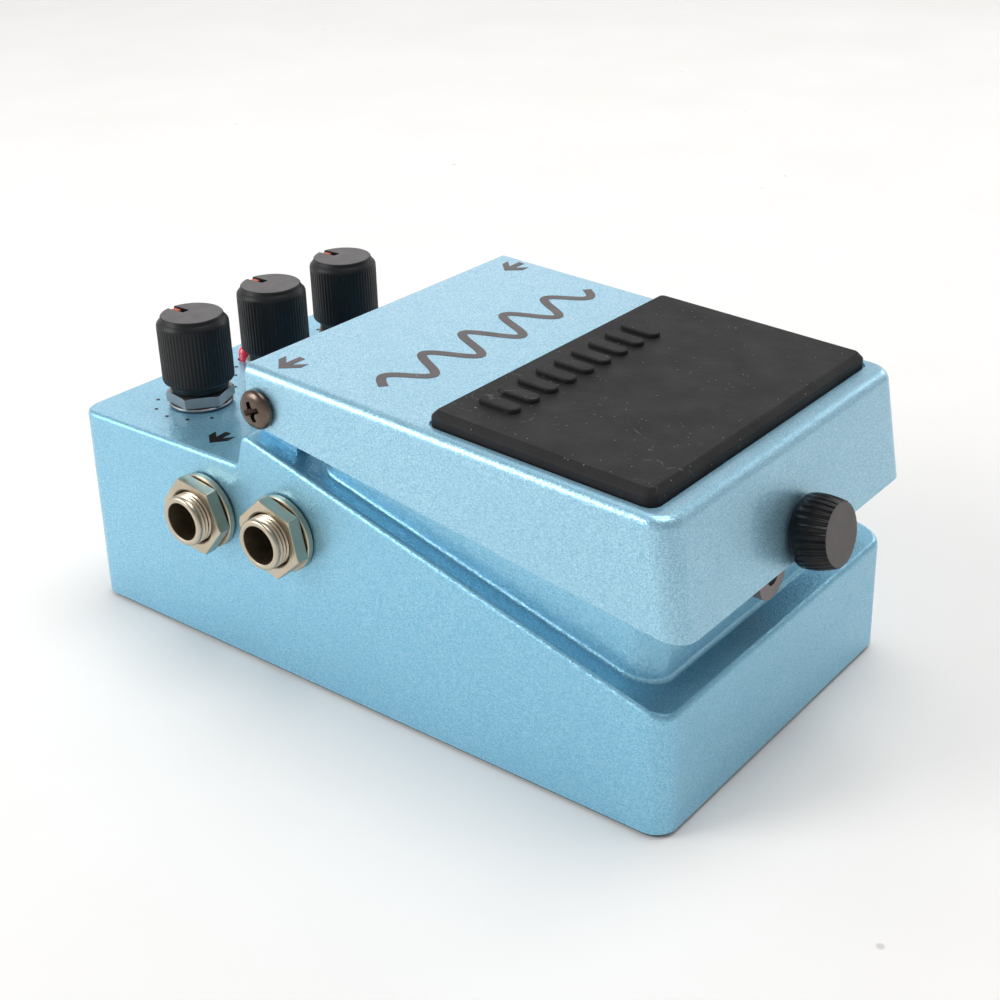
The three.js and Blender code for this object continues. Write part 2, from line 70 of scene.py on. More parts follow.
HINGE_Y, HINGE_Z = 17.2, 51.8
TREADLE_HALF, TREADLE_WALL, TREADLE_LEAN = 36.1, 1.8, 0.02
TREADLE_REAR, REAR_TOP, REAR_LIP = 20.5, 59.0, 48.7
FRONT_TOP_Y, FRONT_TOP_Z = -63.2, 54.3
FRONT_LIP_Y, FRONT_LIP_Z = -66.5, 35.2
TREADLE_SLOPE = (REAR_TOP - FRONT_TOP_Z) / (TREADLE_REAR - FRONT_TOP_Y)
LIP_SLOPE = (REAR_LIP - FRONT_LIP_Z) / (TREADLE_REAR - FRONT_LIP_Y)
FRONT_RAKE = (FRONT_TOP_Y - FRONT_LIP_Y) / (FRONT_TOP_Z - FRONT_LIP_Z)
PAD_HALF, PAD_FRONT, PAD_REAR, PAD_SUNK, PAD_PROUD = 33.0, -59.0, -17.5, 0.5, 2.4
LATCH_DIP = math.radians(9.8)


def ledge_at(y):
    return RIM_FRONT + LEDGE_SLOPE * (y - FRONT)


def tub_top_at(y):
    return TUB_TOP_FRONT + TUB_SLOPE * (y - TUB_FRONT)


def treadle_top_at(y):
    return REAR_TOP + TREADLE_SLOPE * (y - TREADLE_REAR)


def treadle_lip_at(y):
    return REAR_LIP + LIP_SLOPE * (y - TREADLE_REAR)


def span(node):
    """Lowest and highest corner of a CAD node, in millimetres."""
    low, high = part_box(node)
    return low / MM, high / MM


def middle(node):
    low, high = span(node)
    return (low + high) / 2


# ---- outlines ----


def rounded(corners, steps=6):
    """A closed outline through (a, b, radius) corners, with an arc at each corner that has a radius."""
    outline = []
    for index, (a, b, radius) in enumerate(corners):
        here = Vector((a, b))
        if not radius:
            outline.append((a, b))
            continue
        back = (Vector(corners[index - 1][:2]) - here).normalized()
        on = (Vector(corners[(index + 1) % len(corners)][:2]) - here).normalized()
        half = back.angle(on) / 2
        centre = here + (back + on).normalized() * radius / math.sin(half)
        start = here + back * radius / math.tan(half) - centre
        end = here + on * radius / math.tan(half) - centre
        first = math.atan2(start.y, start.x)
        turn = math.atan2(start.x * end.y - start.y * end.x, start.dot(end))
        for step in range(steps + 1):
            angle = first + turn * step / steps
            outline.append((centre.x + radius * math.cos(angle), centre.y + radius * math.sin(angle)))
    return outline


def rectangle(x, y, radius, steps=6):
    """A rectangle with round corners between the x pair and the y pair."""
    corners = [(x[0], y[0]), (x[1], y[0]), (x[1], y[1]), (x[0], y[1])]
    return rounded([(a, b, radius) for a, b in corners], steps)


def circle(radius, steps=48, x=0.0, y=0.0):
    angles = [2 * math.pi * step / steps for step in range(steps)]
    return [(x + radius * math.cos(a), y + radius * math.sin(a)) for a in angles]


# ---- solids, as bmeshes in millimetres ----


def reshape(solid, rule):
    for vertex in solid.verts:
        vertex.co = rule(vertex.co)
    bmesh.ops.recalc_face_normals(solid, faces=solid.faces)
    return solid


def moved(solid, x=0.0, y=0.0, z=0.0):
    bmesh.ops.translate(solid, verts=solid.verts, vec=(x, y, z))
    return solid


def prism(outline, low, high):
    """A closed outline in X and Y, raised from low to high."""
    solid = bmesh.new()
    rings = [[solid.verts.new((x, y, z)) for x, y in outline] for z in (low, high)]
    for ring in rings:
        solid.faces.new(ring)
    for index in range(len(outline)):
        pair = (index, (index + 1) % len(outline))
        solid.faces.new([rings[0][pair[0]], rings[0][pair[1]], rings[1][pair[1]], rings[1][pair[0]]])
    bmesh.ops.recalc_face_normals(solid, faces=solid.faces)
    return solid


def across(outline, low, high):
    """An outline in Y and Z, carried along X."""
    return reshape(prism(outline, low, high), lambda p: Vector((p.z, p.x, p.y)))


def forward(outline, low, high):
    """An outline in X and Z, carried along Y."""
    return reshape(prism(outline, low, high), lambda p: Vector((p.x, p.z, p.y)))


def turned(profile, steps=64, radius_rule=None):
    """A profile of (radius, z) points, from axis to axis, turned about Z."""
    solid = bmesh.new()
    rings = []
    for radius, z in profile:
        if radius == 0:
            rings.append([solid.verts.new((0, 0, z))])
            continue
        ring = []
        for step in range(steps):
            angle = 2 * math.pi * step / steps
            reach = radius_rule(radius, z, angle) if radius_rule else radius
            ring.append(solid.verts.new((reach * math.cos(angle), reach * math.sin(angle), z)))
        rings.append(ring)
    for lower, upper in zip(rings, rings[1:]):
        for step in range(steps):
            after = (step + 1) % steps
            if len(lower) == 1:
                solid.faces.new((lower[0], upper[step], upper[after]))
            elif len(upper) == 1:
                solid.faces.new((lower[step], lower[after], upper[0]))
            else:
                solid.faces.new((lower[step], lower[after], upper[after], upper[step]))
    bmesh.ops.recalc_face_normals(solid, faces=solid.faces)
    return solid


def rod(radius, low, high, steps=48):
    return turned([(0, low), (radius, low), (radius, high), (0, high)], steps)


def tube(profile, steps=64):
    """A closed profile of (radius, z) points turned about Z, open along the axis."""
    solid = bmesh.new()
    rings = []
    for radius, z in profile:
        angles = [2 * math.pi * step / steps for step in range(steps)]
        rings.append([solid.verts.new((radius * math.cos(a), radius * math.sin(a), z)) for a in angles])
    for index, lower in enumerate(rings):
        upper = rings[(index + 1) % len(rings)]
        for step in range(steps):
            after = (step + 1) % steps
            solid.faces.new((lower[step], lower[after], upper[after], upper[step]))
    bmesh.ops.recalc_face_normals(solid, faces=solid.faces)
    return solid


def pointing(solid, direction):
    """Turns a solid made about +Z to point along another direction."""
    turn = Vector((0, 0, 1)).rotation_difference(Vector(direction)).to_matrix().to_4x4()
    bmesh.ops.transform(solid, matrix=turn, verts=solid.verts)
    return solid


def as_object(solid, name):
    mesh = bpy.data.meshes.new(name)
    solid.to_mesh(mesh)
    solid.free()
    made = bpy.data.objects.new(name, mesh)
    bpy.context.scene.collection.objects.link(made)
    return made


def discard(made):
    mesh = made.data
    bpy.data.objects.remove(made)
    bpy.data.meshes.remove(mesh)


def evaluated(made):
    depsgraph = bpy.context.evaluated_depsgraph_get()
    return bpy.data.meshes.new_from_object(made.evaluated_get(depsgraph))


def combined(solid, tools, operation):
    """The solid with every tool joined to it, cut from it, or crossed with it."""
    target = as_object(solid, "work")
    cutters = [as_object(tool, "tool") for tool in tools]
    for cutter in cutters:
        step = target.modifiers.new("step", "BOOLEAN")
        step.operation = operation
        step.object = cutter
        step.solver = "EXACT"
    mesh = evaluated(target)
    for made in [target, *cutters]:
        discard(made)
    result = bmesh.new()
    result.from_mesh(mesh)
    bpy.data.meshes.remove(mesh)
    bmesh.ops.remove_doubles(result, verts=result.verts, dist=0.002)
    bmesh.ops.dissolve_limit(
        result, angle_limit=math.radians(0.3), verts=result.verts, edges=result.edges
    )
    return result


def joined(solid, *tools):
    return combined(solid, tools, "UNION")


def cut(solid, *tools):
    return combined(solid, tools, "DIFFERENCE")


def crossed(solid, *tools):
    return combined(solid, tools, "INTERSECT")


def soften(solid, radius, segments=3, pick=lambda edge: True, convex=True, sharpest=25):
    """Rounds the sharp edges that pick accepts: outward ones, or inward ones where convex is false."""
    limit = math.radians(sharpest)
    sign = 1 if convex else -1
    edges = [
        edge
        for edge in solid.edges
        if edge.is_manifold and sign * edge.calc_face_angle_signed() > limit and pick(edge)
    ]
    bmesh.ops.bevel(
        solid, geom=edges, offset=radius, segments=segments, profile=0.5,
        affect="EDGES", clamp_overlap=True,
    )
    bmesh.ops.recalc_face_normals(solid, faces=solid.faces)
    return solid


def centre_of(edge):
    return (edge.verts[0].co + edge.verts[1].co) / 2


def piece(name, solid, material, body, replaces=(), angle=32):
    """A finished piece of the visual model, in metres, riding on a body."""
    bmesh.ops.scale(solid, vec=(MM, MM, MM), verts=solid.verts)
    made = as_object(solid, name)
    for face in made.data.polygons:
        face.use_smooth = True
    made.data.set_sharp_from_angle(angle=math.radians(angle))
    weigh = made.modifiers.new("weigh", "WEIGHTED_NORMAL")
    weigh.keep_sharp = True
    mesh = evaluated(made)
    made.modifiers.clear()
    old = made.data
    made.data = mesh
    bpy.data.meshes.remove(old)
    mesh.name = name
    mesh.materials.clear()
    mesh.materials.append(material)
    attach(made, body)
    if replaces:
        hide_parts(*replaces)
    return made


# ---- materials ----


def shader_of(name, **sockets):
    """A new material with its Principled shader, and constant values set straight on its sockets."""
    made = bpy.data.materials.new(name)
    made.use_nodes = True
    shader = made.node_tree.nodes["Principled BSDF"]
    for socket, value in sockets.items():
        shader.inputs[socket.replace("_", " ")].default_value = value
    return made, made.node_tree, shader


def node(tree, kind, inputs=(), **settings):
    """A node with its settings made and its inputs given as values or linked from other sockets."""
    made = tree.nodes.new("ShaderNode" + kind)
    for name, value in settings.items():
        setattr(made, name, value)
    for name, value in dict(inputs).items():
        if isinstance(value, bpy.types.NodeSocket):
            tree.links.new(value, made.inputs[name])
        else:
            made.inputs[name].default_value = value
    return made


def place_in(tree):
    return node(tree, "TexCoord").outputs["Object"]


def noise_in(tree, scale, detail=4.0, roughness=0.55, stretch=None):
    """A noise value over the piece; scale is in waves per metre, stretch is per axis."""
    vector = place_in(tree)
    if stretch:
        vector = node(tree, "Mapping", {"Vector": vector, "Scale": stretch}).outputs["Vector"]
    inputs = {"Vector": vector, "Scale": scale, "Detail": detail, "Roughness": roughness}
    return node(tree, "TexNoise", inputs).outputs["Fac"]


def ramp(tree, value, low, high, to_low=0.0, to_high=1.0):
    inputs = {0: value, 1: low, 2: high, 3: to_low, 4: to_high}
    return node(tree, "MapRange", inputs, clamp=True).outputs[0]


def mixed(tree, share, first, second):
    made = node(tree, "Mix", {0: share, 6: first, 7: second}, data_type="RGBA")
    return made.outputs[2]


def bumped(tree, height, strength, distance):
    inputs = {"Height": height, "Strength": strength, "Distance": distance}
    return node(tree, "Bump", inputs).outputs["Normal"]


def rgb(red, green, blue):
    return (red, green, blue, 1.0)


def specks_in(tree, scale, size, amount):
    """A mask of sparse round specks: cells of a grid, of which only a share holds one."""
    cells = node(tree, "TexVoronoi", {"Vector": place_in(tree), "Scale": scale})
    near = ramp(tree, cells.outputs["Distance"], size, size * 0.6)
    channels = node(tree, "SeparateColor", {0: cells.outputs["Color"]})
    chosen = ramp(tree, channels.outputs[0], 1 - amount, 1 - amount + 0.01)
    return node(tree, "Math", {0: near, 1: chosen}, operation="MULTIPLY").outputs[0]


def flake_paint(name, dark, light, veil):
    """Metallic paint: fine flakes that each face their own way under a clear coat, and a few specks."""
    made, tree, shader = shader_of(
        name, Metallic=0.72, Coat_Weight=0.42, Coat_Roughness=0.06, Coat_IOR=1.5
    )
    flakes = node(tree, "TexVoronoi", {"Vector": place_in(tree), "Scale": 6200.0})
    random_direction = flakes.outputs["Color"]
    centred = node(
        tree, "VectorMath", {0: random_direction, 1: (0.5, 0.5, 0.5)}, operation="SUBTRACT"
    ).outputs[0]
    tilt = node(tree, "VectorMath", {0: centred, "Scale": 0.2}, operation="SCALE").outputs[0]
    facing = node(tree, "NewGeometry").outputs["Normal"]
    leaning = node(tree, "VectorMath", {0: facing, 1: tilt}, operation="ADD").outputs[0]
    normal = node(tree, "VectorMath", {0: leaning}, operation="NORMALIZE").outputs[0]
    channels = node(tree, "SeparateColor", {0: random_direction})
    sparkle = ramp(tree, channels.outputs[1], 0.0, 1.0)
    flake_color = mixed(tree, sparkle, rgb(*dark), rgb(*light))
    cloud = ramp(tree, noise_in(tree, 70.0, 4.0), 0.3, 0.7, 0.0, 0.35)
    veiled = mixed(tree, cloud, flake_color, rgb(*veil))
    color = mixed(tree, specks_in(tree, 95.0, 0.10, 0.035), veiled, rgb(0.10, 0.16, 0.20))
    tree.links.new(color, shader.inputs["Base Color"])
    tree.links.new(normal, shader.inputs["Normal"])
    roughness = ramp(tree, noise_in(tree, 220.0, 4.0), 0.3, 0.7, 0.36, 0.44)
    tree.links.new(roughness, shader.inputs["Roughness"])
    return made


def soft_rubber(name, color, dust):
    """Matte black rubber with a fine grain, light dust, thin scuffs and cloudy wiped patches."""
    made, tree, shader = shader_of(name, Specular_IOR_Level=0.25)
    cloud = ramp(tree, noise_in(tree, 60.0, 5.0), 0.35, 0.75)
    base = mixed(tree, cloud, rgb(*color), rgb(*[c * 1.35 for c in color]))
    dusty = mixed(tree, specks_in(tree, 1500.0, 0.22, dust * 1.6), base, rgb(0.16, 0.16, 0.16))
    fluff = mixed(tree, specks_in(tree, 330.0, 0.07, dust * 2), dusty, rgb(0.24, 0.23, 0.215))
    line = node(tree, "Math", {0: noise_in(tree, 42.0, 3.0), 1: 0.5, 2: 0.003}, operation="COMPARE")
    broken = ramp(tree, noise_in(tree, 900.0, 3.0), 0.48, 0.62, 0.0, 0.6)
    kept = ramp(tree, noise_in(tree, 30.0, 2.0, stretch=(1.0, 0.6, 1.0)), 0.52, 0.58)
    scuff = node(tree, "Math", {0: line.outputs[0], 1: broken}, operation="MULTIPLY").outputs[0]
    scuff = node(tree, "Math", {0: scuff, 1: kept}, operation="MULTIPLY").outputs[0]
    scuffed = mixed(tree, scuff, fluff, rgb(0.10, 0.10, 0.10))
    tree.links.new(scuffed, shader.inputs["Base Color"])
    roughness = ramp(tree, noise_in(tree, 160.0, 5.0), 0.3, 0.7, 0.52, 0.66)
    tree.links.new(roughness, shader.inputs["Roughness"])
    grain = noise_in(tree, 2600.0, 3.0)
    tree.links.new(bumped(tree, grain, 0.6, 0.00012), shader.inputs["Normal"])
    return made


def moulded(name, color, gloss, grain_scale=3000.0, grain=0.25, lift=1.4, shine=0.35):
    """Moulded plastic: slight colour drift, uneven gloss between the two roughnesses, fine grain."""
    made, tree, shader = shader_of(name, Specular_IOR_Level=shine)
    drift = ramp(tree, noise_in(tree, 130.0, 4.0), 0.3, 0.7)
    paler = rgb(*[min(c * lift, 1.0) for c in color])
    tree.links.new(mixed(tree, drift, rgb(*color), paler), shader.inputs["Base Color"])
    roughness = ramp(tree, noise_in(tree, 400.0, 5.0), 0.3, 0.7, *gloss)
    tree.links.new(roughness, shader.inputs["Roughness"])
    height = noise_in(tree, grain_scale, 2.0)
    tree.links.new(bumped(tree, height, grain, 0.00005), shader.inputs["Normal"])
    return made


def plated(name, color, tarnish, gloss, stretch=None):
    """Plated metal with faint machining lines, cloudy gloss and darker tarnish in patches."""
    made, tree, shader = shader_of(name, Metallic=1.0)
    patches = ramp(tree, noise_in(tree, 180.0, 5.0), 0.4, 0.8)
    tree.links.new(mixed(tree, patches, rgb(*color), rgb(*tarnish)), shader.inputs["Base Color"])
    roughness = ramp(tree, noise_in(tree, 700.0, 4.0, stretch=stretch), 0.3, 0.7, *gloss)
    tree.links.new(roughness, shader.inputs["Roughness"])
    lines = noise_in(tree, 2400.0, 3.0, stretch=stretch)
    tree.links.new(bumped(tree, lines, 0.07, 0.00005), shader.inputs["Normal"])
    return made


def red_lens():
    made, tree, shader = shader_of(
        "red_lens", Coat_Weight=0.6, Coat_Roughness=0.05, Subsurface_Weight=0.25,
        Subsurface_Radius=(0.004, 0.001, 0.001), Subsurface_Scale=0.3,
    )
    depth = ramp(tree, noise_in(tree, 250.0, 2.0), 0.3, 0.7)
    color = mixed(tree, depth, rgb(0.82, 0.030, 0.070), rgb(0.95, 0.060, 0.110))
    tree.links.new(color, shader.inputs["Base Color"])
    roughness = ramp(tree, noise_in(tree, 600.0, 3.0), 0.3, 0.7, 0.12, 0.22)
    tree.links.new(roughness, shader.inputs["Roughness"])
    return made


def printed(name, color, worn_color):
    """Screen-printed ink with slightly ragged cover."""
    made, tree, shader = shader_of(name, Specular_IOR_Level=0.3)
    cover = ramp(tree, noise_in(tree, 1500.0, 5.0), 0.62, 0.8)
    tree.links.new(mixed(tree, cover, rgb(*color), rgb(*worn_color)), shader.inputs["Base Color"])
    roughness = ramp(tree, noise_in(tree, 300.0, 3.0), 0.3, 0.7, 0.38, 0.5)
    tree.links.new(roughness, shader.inputs["Roughness"])
    return made


def circuit_board():
    """Green board with a pattern of tinned pads and darker copper runs under the mask."""
    made, tree, shader = shader_of("circuit_board", Coat_Weight=0.3, Coat_Roughness=0.2)
    runs = node(tree, "TexBrick", {"Vector": place_in(tree), "Scale": 160.0, "Mortar Size": 0.03})
    laid = mixed(tree, runs.outputs["Fac"], rgb(0.015, 0.13, 0.06), rgb(0.03, 0.22, 0.10))
    pads = specks_in(tree, 330.0, 0.22, 0.3)
    tree.links.new(mixed(tree, pads, laid, rgb(0.62, 0.62, 0.60)), shader.inputs["Base Color"])
    roughness = ramp(tree, noise_in(tree, 300.0, 3.0), 0.3, 0.7, 0.35, 0.5)
    tree.links.new(roughness, shader.inputs["Roughness"])
    return made


def battery_sleeve():
    """A dark sleeve with a copper-coloured band at its terminal end."""
    made, tree, shader = shader_of("battery_sleeve", Metallic=0.35, Coat_Weight=0.4, Coat_Roughness=0.1)
    along = node(tree, "SeparateXYZ", {0: place_in(tree)}).outputs[1]
    low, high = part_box("battery")
    seam = high.y - 0.014
    band = ramp(tree, along, seam, seam + 0.0002)
    dark = mixed(tree, ramp(tree, noise_in(tree, 90.0, 4.0), 0.3, 0.7), rgb(0.03, 0.032, 0.04),
                 rgb(0.05, 0.052, 0.06))
    tree.links.new(mixed(tree, band, dark, rgb(0.60, 0.30, 0.14)), shader.inputs["Base Color"])
    roughness = ramp(tree, noise_in(tree, 260.0, 4.0), 0.3, 0.7, 0.25, 0.4)
    tree.links.new(roughness, shader.inputs["Roughness"])
    return made


def pale_floor():
    made, tree, shader = shader_of("pale_floor")
    drift = ramp(tree, noise_in(tree, 14.0, 5.0), 0.3, 0.75)
    clean = mixed(tree, drift, rgb(0.92, 0.90, 0.88), rgb(0.95, 0.94, 0.925))
    marked = mixed(tree, specks_in(tree, 110.0, 0.09, 0.03), clean, rgb(0.70, 0.66, 0.62))
    tree.links.new(marked, shader.inputs["Base Color"])
    roughness = ramp(tree, noise_in(tree, 60.0, 4.0), 0.3, 0.7, 0.55, 0.7)
    tree.links.new(roughness, shader.inputs["Roughness"])
    return made


BASE_PAINT = flake_paint("base_paint", (0.14, 0.43, 0.62), (0.36, 0.65, 0.81), (0.23, 0.51, 0.68))
# The treadle's paint is a lighter copy of the base paint: painted highlight, standing in for the brighter
# surroundings that the treadle's sides and front reflect.
LIT_TREADLE_PAINT = flake_paint("treadle_paint_lit_copy", (0.20, 0.46, 0.62), (0.46, 0.71, 0.85), (0.31, 0.57, 0.72))
PAD_RUBBER = soft_rubber("pad_rubber", (0.011, 0.011, 0.012), 0.05)
BASE_RUBBER = soft_rubber("base_rubber", (0.016, 0.016, 0.017), 0.02)
KNOB_BLACK = moulded("knob_black", (0.004, 0.005, 0.006), (0.40, 0.52), shine=0.3)
# Lighter grey for the knobs' upward faces: painted sheen, the light the tops catch from above, on the same
# black plastic as the barrel.
SHEEN_KNOB_TOP = moulded("knob_top_painted_sheen", (0.085, 0.080, 0.082), (0.42, 0.55), grain=0.3, lift=1.15)
GLOSS_BLACK = moulded("gloss_black", (0.002, 0.002, 0.003), (0.20, 0.26), grain=0.02, shine=0.3)
LATCH_FACE = moulded("latch_face", (0.080, 0.073, 0.070), (0.35, 0.48), grain=0.15, lift=1.1)
BUSH_GREY = moulded("bush_grey", (0.190, 0.160, 0.155), (0.35, 0.5), grain=0.3)
MOULDING = moulded("moulding", (0.020, 0.020, 0.023), (0.35, 0.5))
ORANGE = moulded("pointer_orange", (0.48, 0.085, 0.03), (0.45, 0.6), grain=0.3, lift=1.15)
NICKEL = plated("nickel", (0.53, 0.47, 0.37), (0.44, 0.38, 0.28), (0.28, 0.36))
STEEL = plated("plated_steel", (0.62, 0.63, 0.63), (0.42, 0.42, 0.41), (0.30, 0.45))
NUT_STEEL = plated("nut_steel", (0.37, 0.37, 0.38), (0.30, 0.295, 0.29), (0.40, 0.50))
BRONZE = plated("bronzed_steel", (0.17, 0.135, 0.11), (0.08, 0.06, 0.05), (0.22, 0.34))
RED_LENS = red_lens()
BOARD = circuit_board()
SLEEVE = battery_sleeve()
TREADLE_INK = printed("treadle_ink", (0.105, 0.088, 0.090), (0.20, 0.24, 0.27))
DECK_INK = printed("deck_ink", (0.005, 0.005, 0.006), (0.03, 0.045, 0.05))


# ---- base casting ----

JACK_NAMES = ("output_jack_rear", "output_jack_front", "input_jack")
CONTROLS = (1, 2, 3)
SCREWS = (1, 2, 3, 4)
EDGE = 0.95  # rounding of the casting's outer edges
FILLET = 1.3  # where the tub rises out of the ledge
RIM_FOOT = 0.5  # the casting's rim comes down this close to the floor, past the rubber's thin edge


def leaning_plan(inset, foot, top):
    """The casting's plan as a prism whose walls lean inward going up."""
    x = WIDTH / 2 - inset
    plan = rectangle((-x, x), (FRONT + inset, REAR - inset), max(CORNER - inset, 1.0), 8)
    return reshape(
        prism(plan, foot, top),
        lambda p: Vector(
            (p.x - math.copysign(DRAFT * p.z, p.x), p.y - math.copysign(DRAFT * p.z, p.y), p.z)
        ),
    )


def casting_body(inset, skin, foot):
    far = REAR + 5
    back = skin * 0.9
    outline = rounded(
        [
            (-far, -5, 0),
            (far, -5, 0),
            (far, DECK - skin, 0),
            (STEP_FOOT_Y - back, DECK - skin, 1.0),
            (SHOULDER_Y - back, ledge_at(SHOULDER_Y - back) - skin, 1.7),
            (-far, ledge_at(-far) - skin, 0),
        ],
        4,
    )
    return crossed(leaning_plan(inset, foot, 60), across(outline, -50, 50))


def tub_body(inset):
    x = TUB_X - inset
    plan = rectangle((-x, x), (TUB_FRONT + inset, TUB_REAR - inset), TUB_CORNER - inset, 8)
    low = 12
    roof = [(-80, low), (40, low), (40, tub_top_at(40) - inset), (-80, tub_top_at(-80) - inset)]
    return crossed(prism(plan, low, 60), across(roof, -50, 50))


def upright_slot(radius, low, high):
    """A slot with round ends that stands upright, run along Y, in the guide bush's place."""
    bush_low, bush_high = span("guide_bush")
    half = (bush_high.x - bush_low.x) / 2
    feet = (bush_low.z + half, bush_high.z - half)
    outline = rounded(
        [(x, z + dz, radius * 0.999) for x, z, dz in (
            (-radius, feet[0], -radius), (radius, feet[0], -radius),
            (radius, feet[1], radius), (-radius, feet[1], radius))],
        12,
    )
    return forward(outline, low, high)


def hole_at(node_name, radius, direction, reach=12.0, steps=48):
    """A round cutter through the middle of a node, along one axis."""
    where = middle(node_name)
    return moved(pointing(rod(radius, -reach, reach, steps), direction), *where)


def hinge_lug(side):
    inner, outer = 28.3, 32.0
    radius = 4.2
    outline = rounded(
        [
            (13.0, 41.5, 0),
            (21.4, 41.5, 0),
            (21.4, HINGE_Z + radius, radius * 0.999),
            (13.0, HINGE_Z + radius, radius * 0.999),
        ],
        8,
    )
    return across(outline, *sorted((side * inner, side * outer)))


def screw_boss(name):
    where = middle(name)
    ceiling = min(ledge_at(where.y), DECK) - 1.5
    return moved(rod(3.4, CASTING_FOOT + 1.6, ceiling, 24), where.x, where.y)


def base_casting():
    outside = casting_body(0, 0, RIM_FOOT)
    soften(outside, 0.3, 2, lambda edge: centre_of(edge).z < RIM_FOOT + 0.1)
    soften(outside, EDGE, 4, lambda edge: centre_of(edge).z > CASTING_FOOT + 1)
    tub = tub_body(0)
    soften(tub, 0.9, 3, lambda edge: centre_of(edge).z > 30)
    outside = joined(outside, tub)

    def at_tub_foot(edge):
        where = centre_of(edge)
        inside = abs(where.x) < TUB_X + 0.5 and TUB_FRONT - 0.5 < where.y < TUB_REAR + 0.5
        return inside and abs(where.z - ledge_at(where.y)) < 0.4

    soften(outside, FILLET, 4, at_tub_foot, convex=False)
    floor = span("battery")[0].z - 0.2
    well_x, well_y = (-29.6, -2.4), (-56.6, -1.5)
    battery_well = prism(rectangle(well_x, well_y, 1.2), floor, 70)
    spring = middle("return_spring")
    spring_foot = span("return_spring")[0].z
    well_box = prism(rectangle((-TUB_X + 1, -0.6), (TUB_FRONT + 1, 0.3), 1.0), floor - 1.8, 60)
    hollow = cut(outside, casting_body(WALL, SKIN, -5), tub_body(TUB_WALL))
    inner_tub = tub_body(0.5)
    cup = moved(rod(9.2, spring_foot - 2, 60), spring.x, spring.y)
    furnished = joined(
        hollow,
        crossed(well_box, inner_tub.copy()),
        crossed(cup, inner_tub),
        hinge_lug(1),
        hinge_lug(-1),
        *[screw_boss(f"bottom_screw_{k}") for k in SCREWS],
    )
    spring_well = moved(rod(7.5, spring_foot - 0.2, 70), spring.x, spring.y)
    switch = middle("foot_switch_plunger")
    jack_hole = 5.0
    return cut(
        furnished,
        battery_well,
        spring_well,
        moved(rod(3.0, 40, 70), switch.x, switch.y),
        upright_slot(3.2, TUB_FRONT - 1, TUB_FRONT + TUB_WALL + 0.2),
        hole_at("hinge_bush_left", 3.0, (1, 0, 0)),
        hole_at("hinge_bush_right", 3.0, (1, 0, 0)),
        *[hole_at(f"{name}_washer", jack_hole, (1, 0, 0), 6) for name in JACK_NAMES],
        moved(pointing(rod(4.3, 55, 70), (0, 1, 0)), 0, 0, middle("power_socket_pin").z),
        moved(rod(1.75, 30, 50), middle("indicator_led").x, middle("indicator_led").y),
        *[hole_at(f"control_washer_{k}", 3.8, (0, 0, 1), 6) for k in CONTROLS],
        *[hole_at(f"bottom_screw_{k}", 1.8, (0, 0, 1), 8, 20) for k in SCREWS],
    )


piece("base_casting_visual", base_casting(), BASE_PAINT, "base", ["base_casting"])


# ---- treadle ----


def treadle_body(inset):
    """The treadle's outer body, or the hollow in it, which runs out below and behind."""
    past = 5.0 if inset else 0.0
    behind, ahead = TREADLE_REAR + past, FRONT_LIP_Y - 10
    outline = [
        (behind, treadle_lip_at(behind) - past),
        (behind, treadle_top_at(behind) - inset),
        (ahead, treadle_top_at(ahead) - inset),
        (ahead, treadle_lip_at(ahead) - past),
    ]
    half = TREADLE_HALF + TREADLE_LEAN * FRONT_LIP_Z - inset
    front = FRONT_LIP_Y + inset - FRONT_RAKE * FRONT_LIP_Z
    plan = rectangle((-half, half), (front, 40), CORNER - inset / 2, 8)
    walls = reshape(
        prism(plan, 20, 70),
        lambda p: Vector((p.x - math.copysign(TREADLE_LEAN * p.z, p.x), p.y + FRONT_RAKE * p.z, p.z)),
    )
    return crossed(across(outline, -half, half), walls)


def on_treadle(outline, low, high):
    """A flat outline carried up the slope of the treadle's top, between two heights from it."""
    return reshape(
        prism(outline, low, high), lambda p: Vector((p.x, p.y, p.z + treadle_top_at(p.y)))
    )


def onto_latch(solid):
    """Lays a piece made about Z on the thumbscrew's axis, with z counted inward from its face."""
    turn = Matrix.Rotation(-math.pi / 2 - LATCH_DIP, 4, "X")
    bmesh.ops.transform(solid, matrix=turn, verts=solid.verts)
    return moved(solid, 0, LATCH_FACE_Y, LATCH_FACE_Z)


LATCH_LENGTH = 6.2
LATCH_FACE_Y, LATCH_FACE_Z = -72.4, 40.3
PAD_CORNER = 1.8


def pad_outline(margin, corner, steps=6):
    return rectangle(
        (-PAD_HALF - margin, PAD_HALF + margin), (PAD_FRONT - margin, PAD_REAR + margin), corner, steps
    )


def treadle_shell():
    shell = treadle_body(0)

    def along_top(edge):
        where = centre_of(edge)
        return abs(where.z - treadle_top_at(where.y)) < 0.3 and where.y < TREADLE_REAR - 0.3

    def rear_ends(edge):
        where = centre_of(edge)
        return where.y > TREADLE_REAR - 0.2

    soften(shell, 1.7, 5, along_top)
    soften(shell, 0.7, 3, rear_ends)
    switch, spring = middle("foot_switch_plunger"), middle("return_spring")
    post_foot = span("foot_switch_plunger")[1].z + 0.3
    roof = treadle_top_at(spring.y) - TREADLE_WALL
    hollow = cut(shell, treadle_body(TREADLE_WALL))
    furnished = joined(
        hollow,
        moved(rod(3.0, post_foot, treadle_top_at(switch.y) - 1), switch.x, switch.y),
        moved(rod(3.4, roof - 3.4, roof + 1), spring.x, spring.y),
    )
    recess = on_treadle(pad_outline(0.4, PAD_CORNER + 0.3), -PAD_SUNK, 5)
    return cut(
        furnished,
        recess,
        moved(pointing(rod(1.95, -45, 45), (1, 0, 0)), 0, HINGE_Y, HINGE_Z),
        onto_latch(rod(1.8, 0, 20)),
    )


piece("treadle_shell_visual", treadle_shell(), LIT_TREADLE_PAINT, "treadle", ["treadle_shell"])


PAD_BEVEL = 1.05


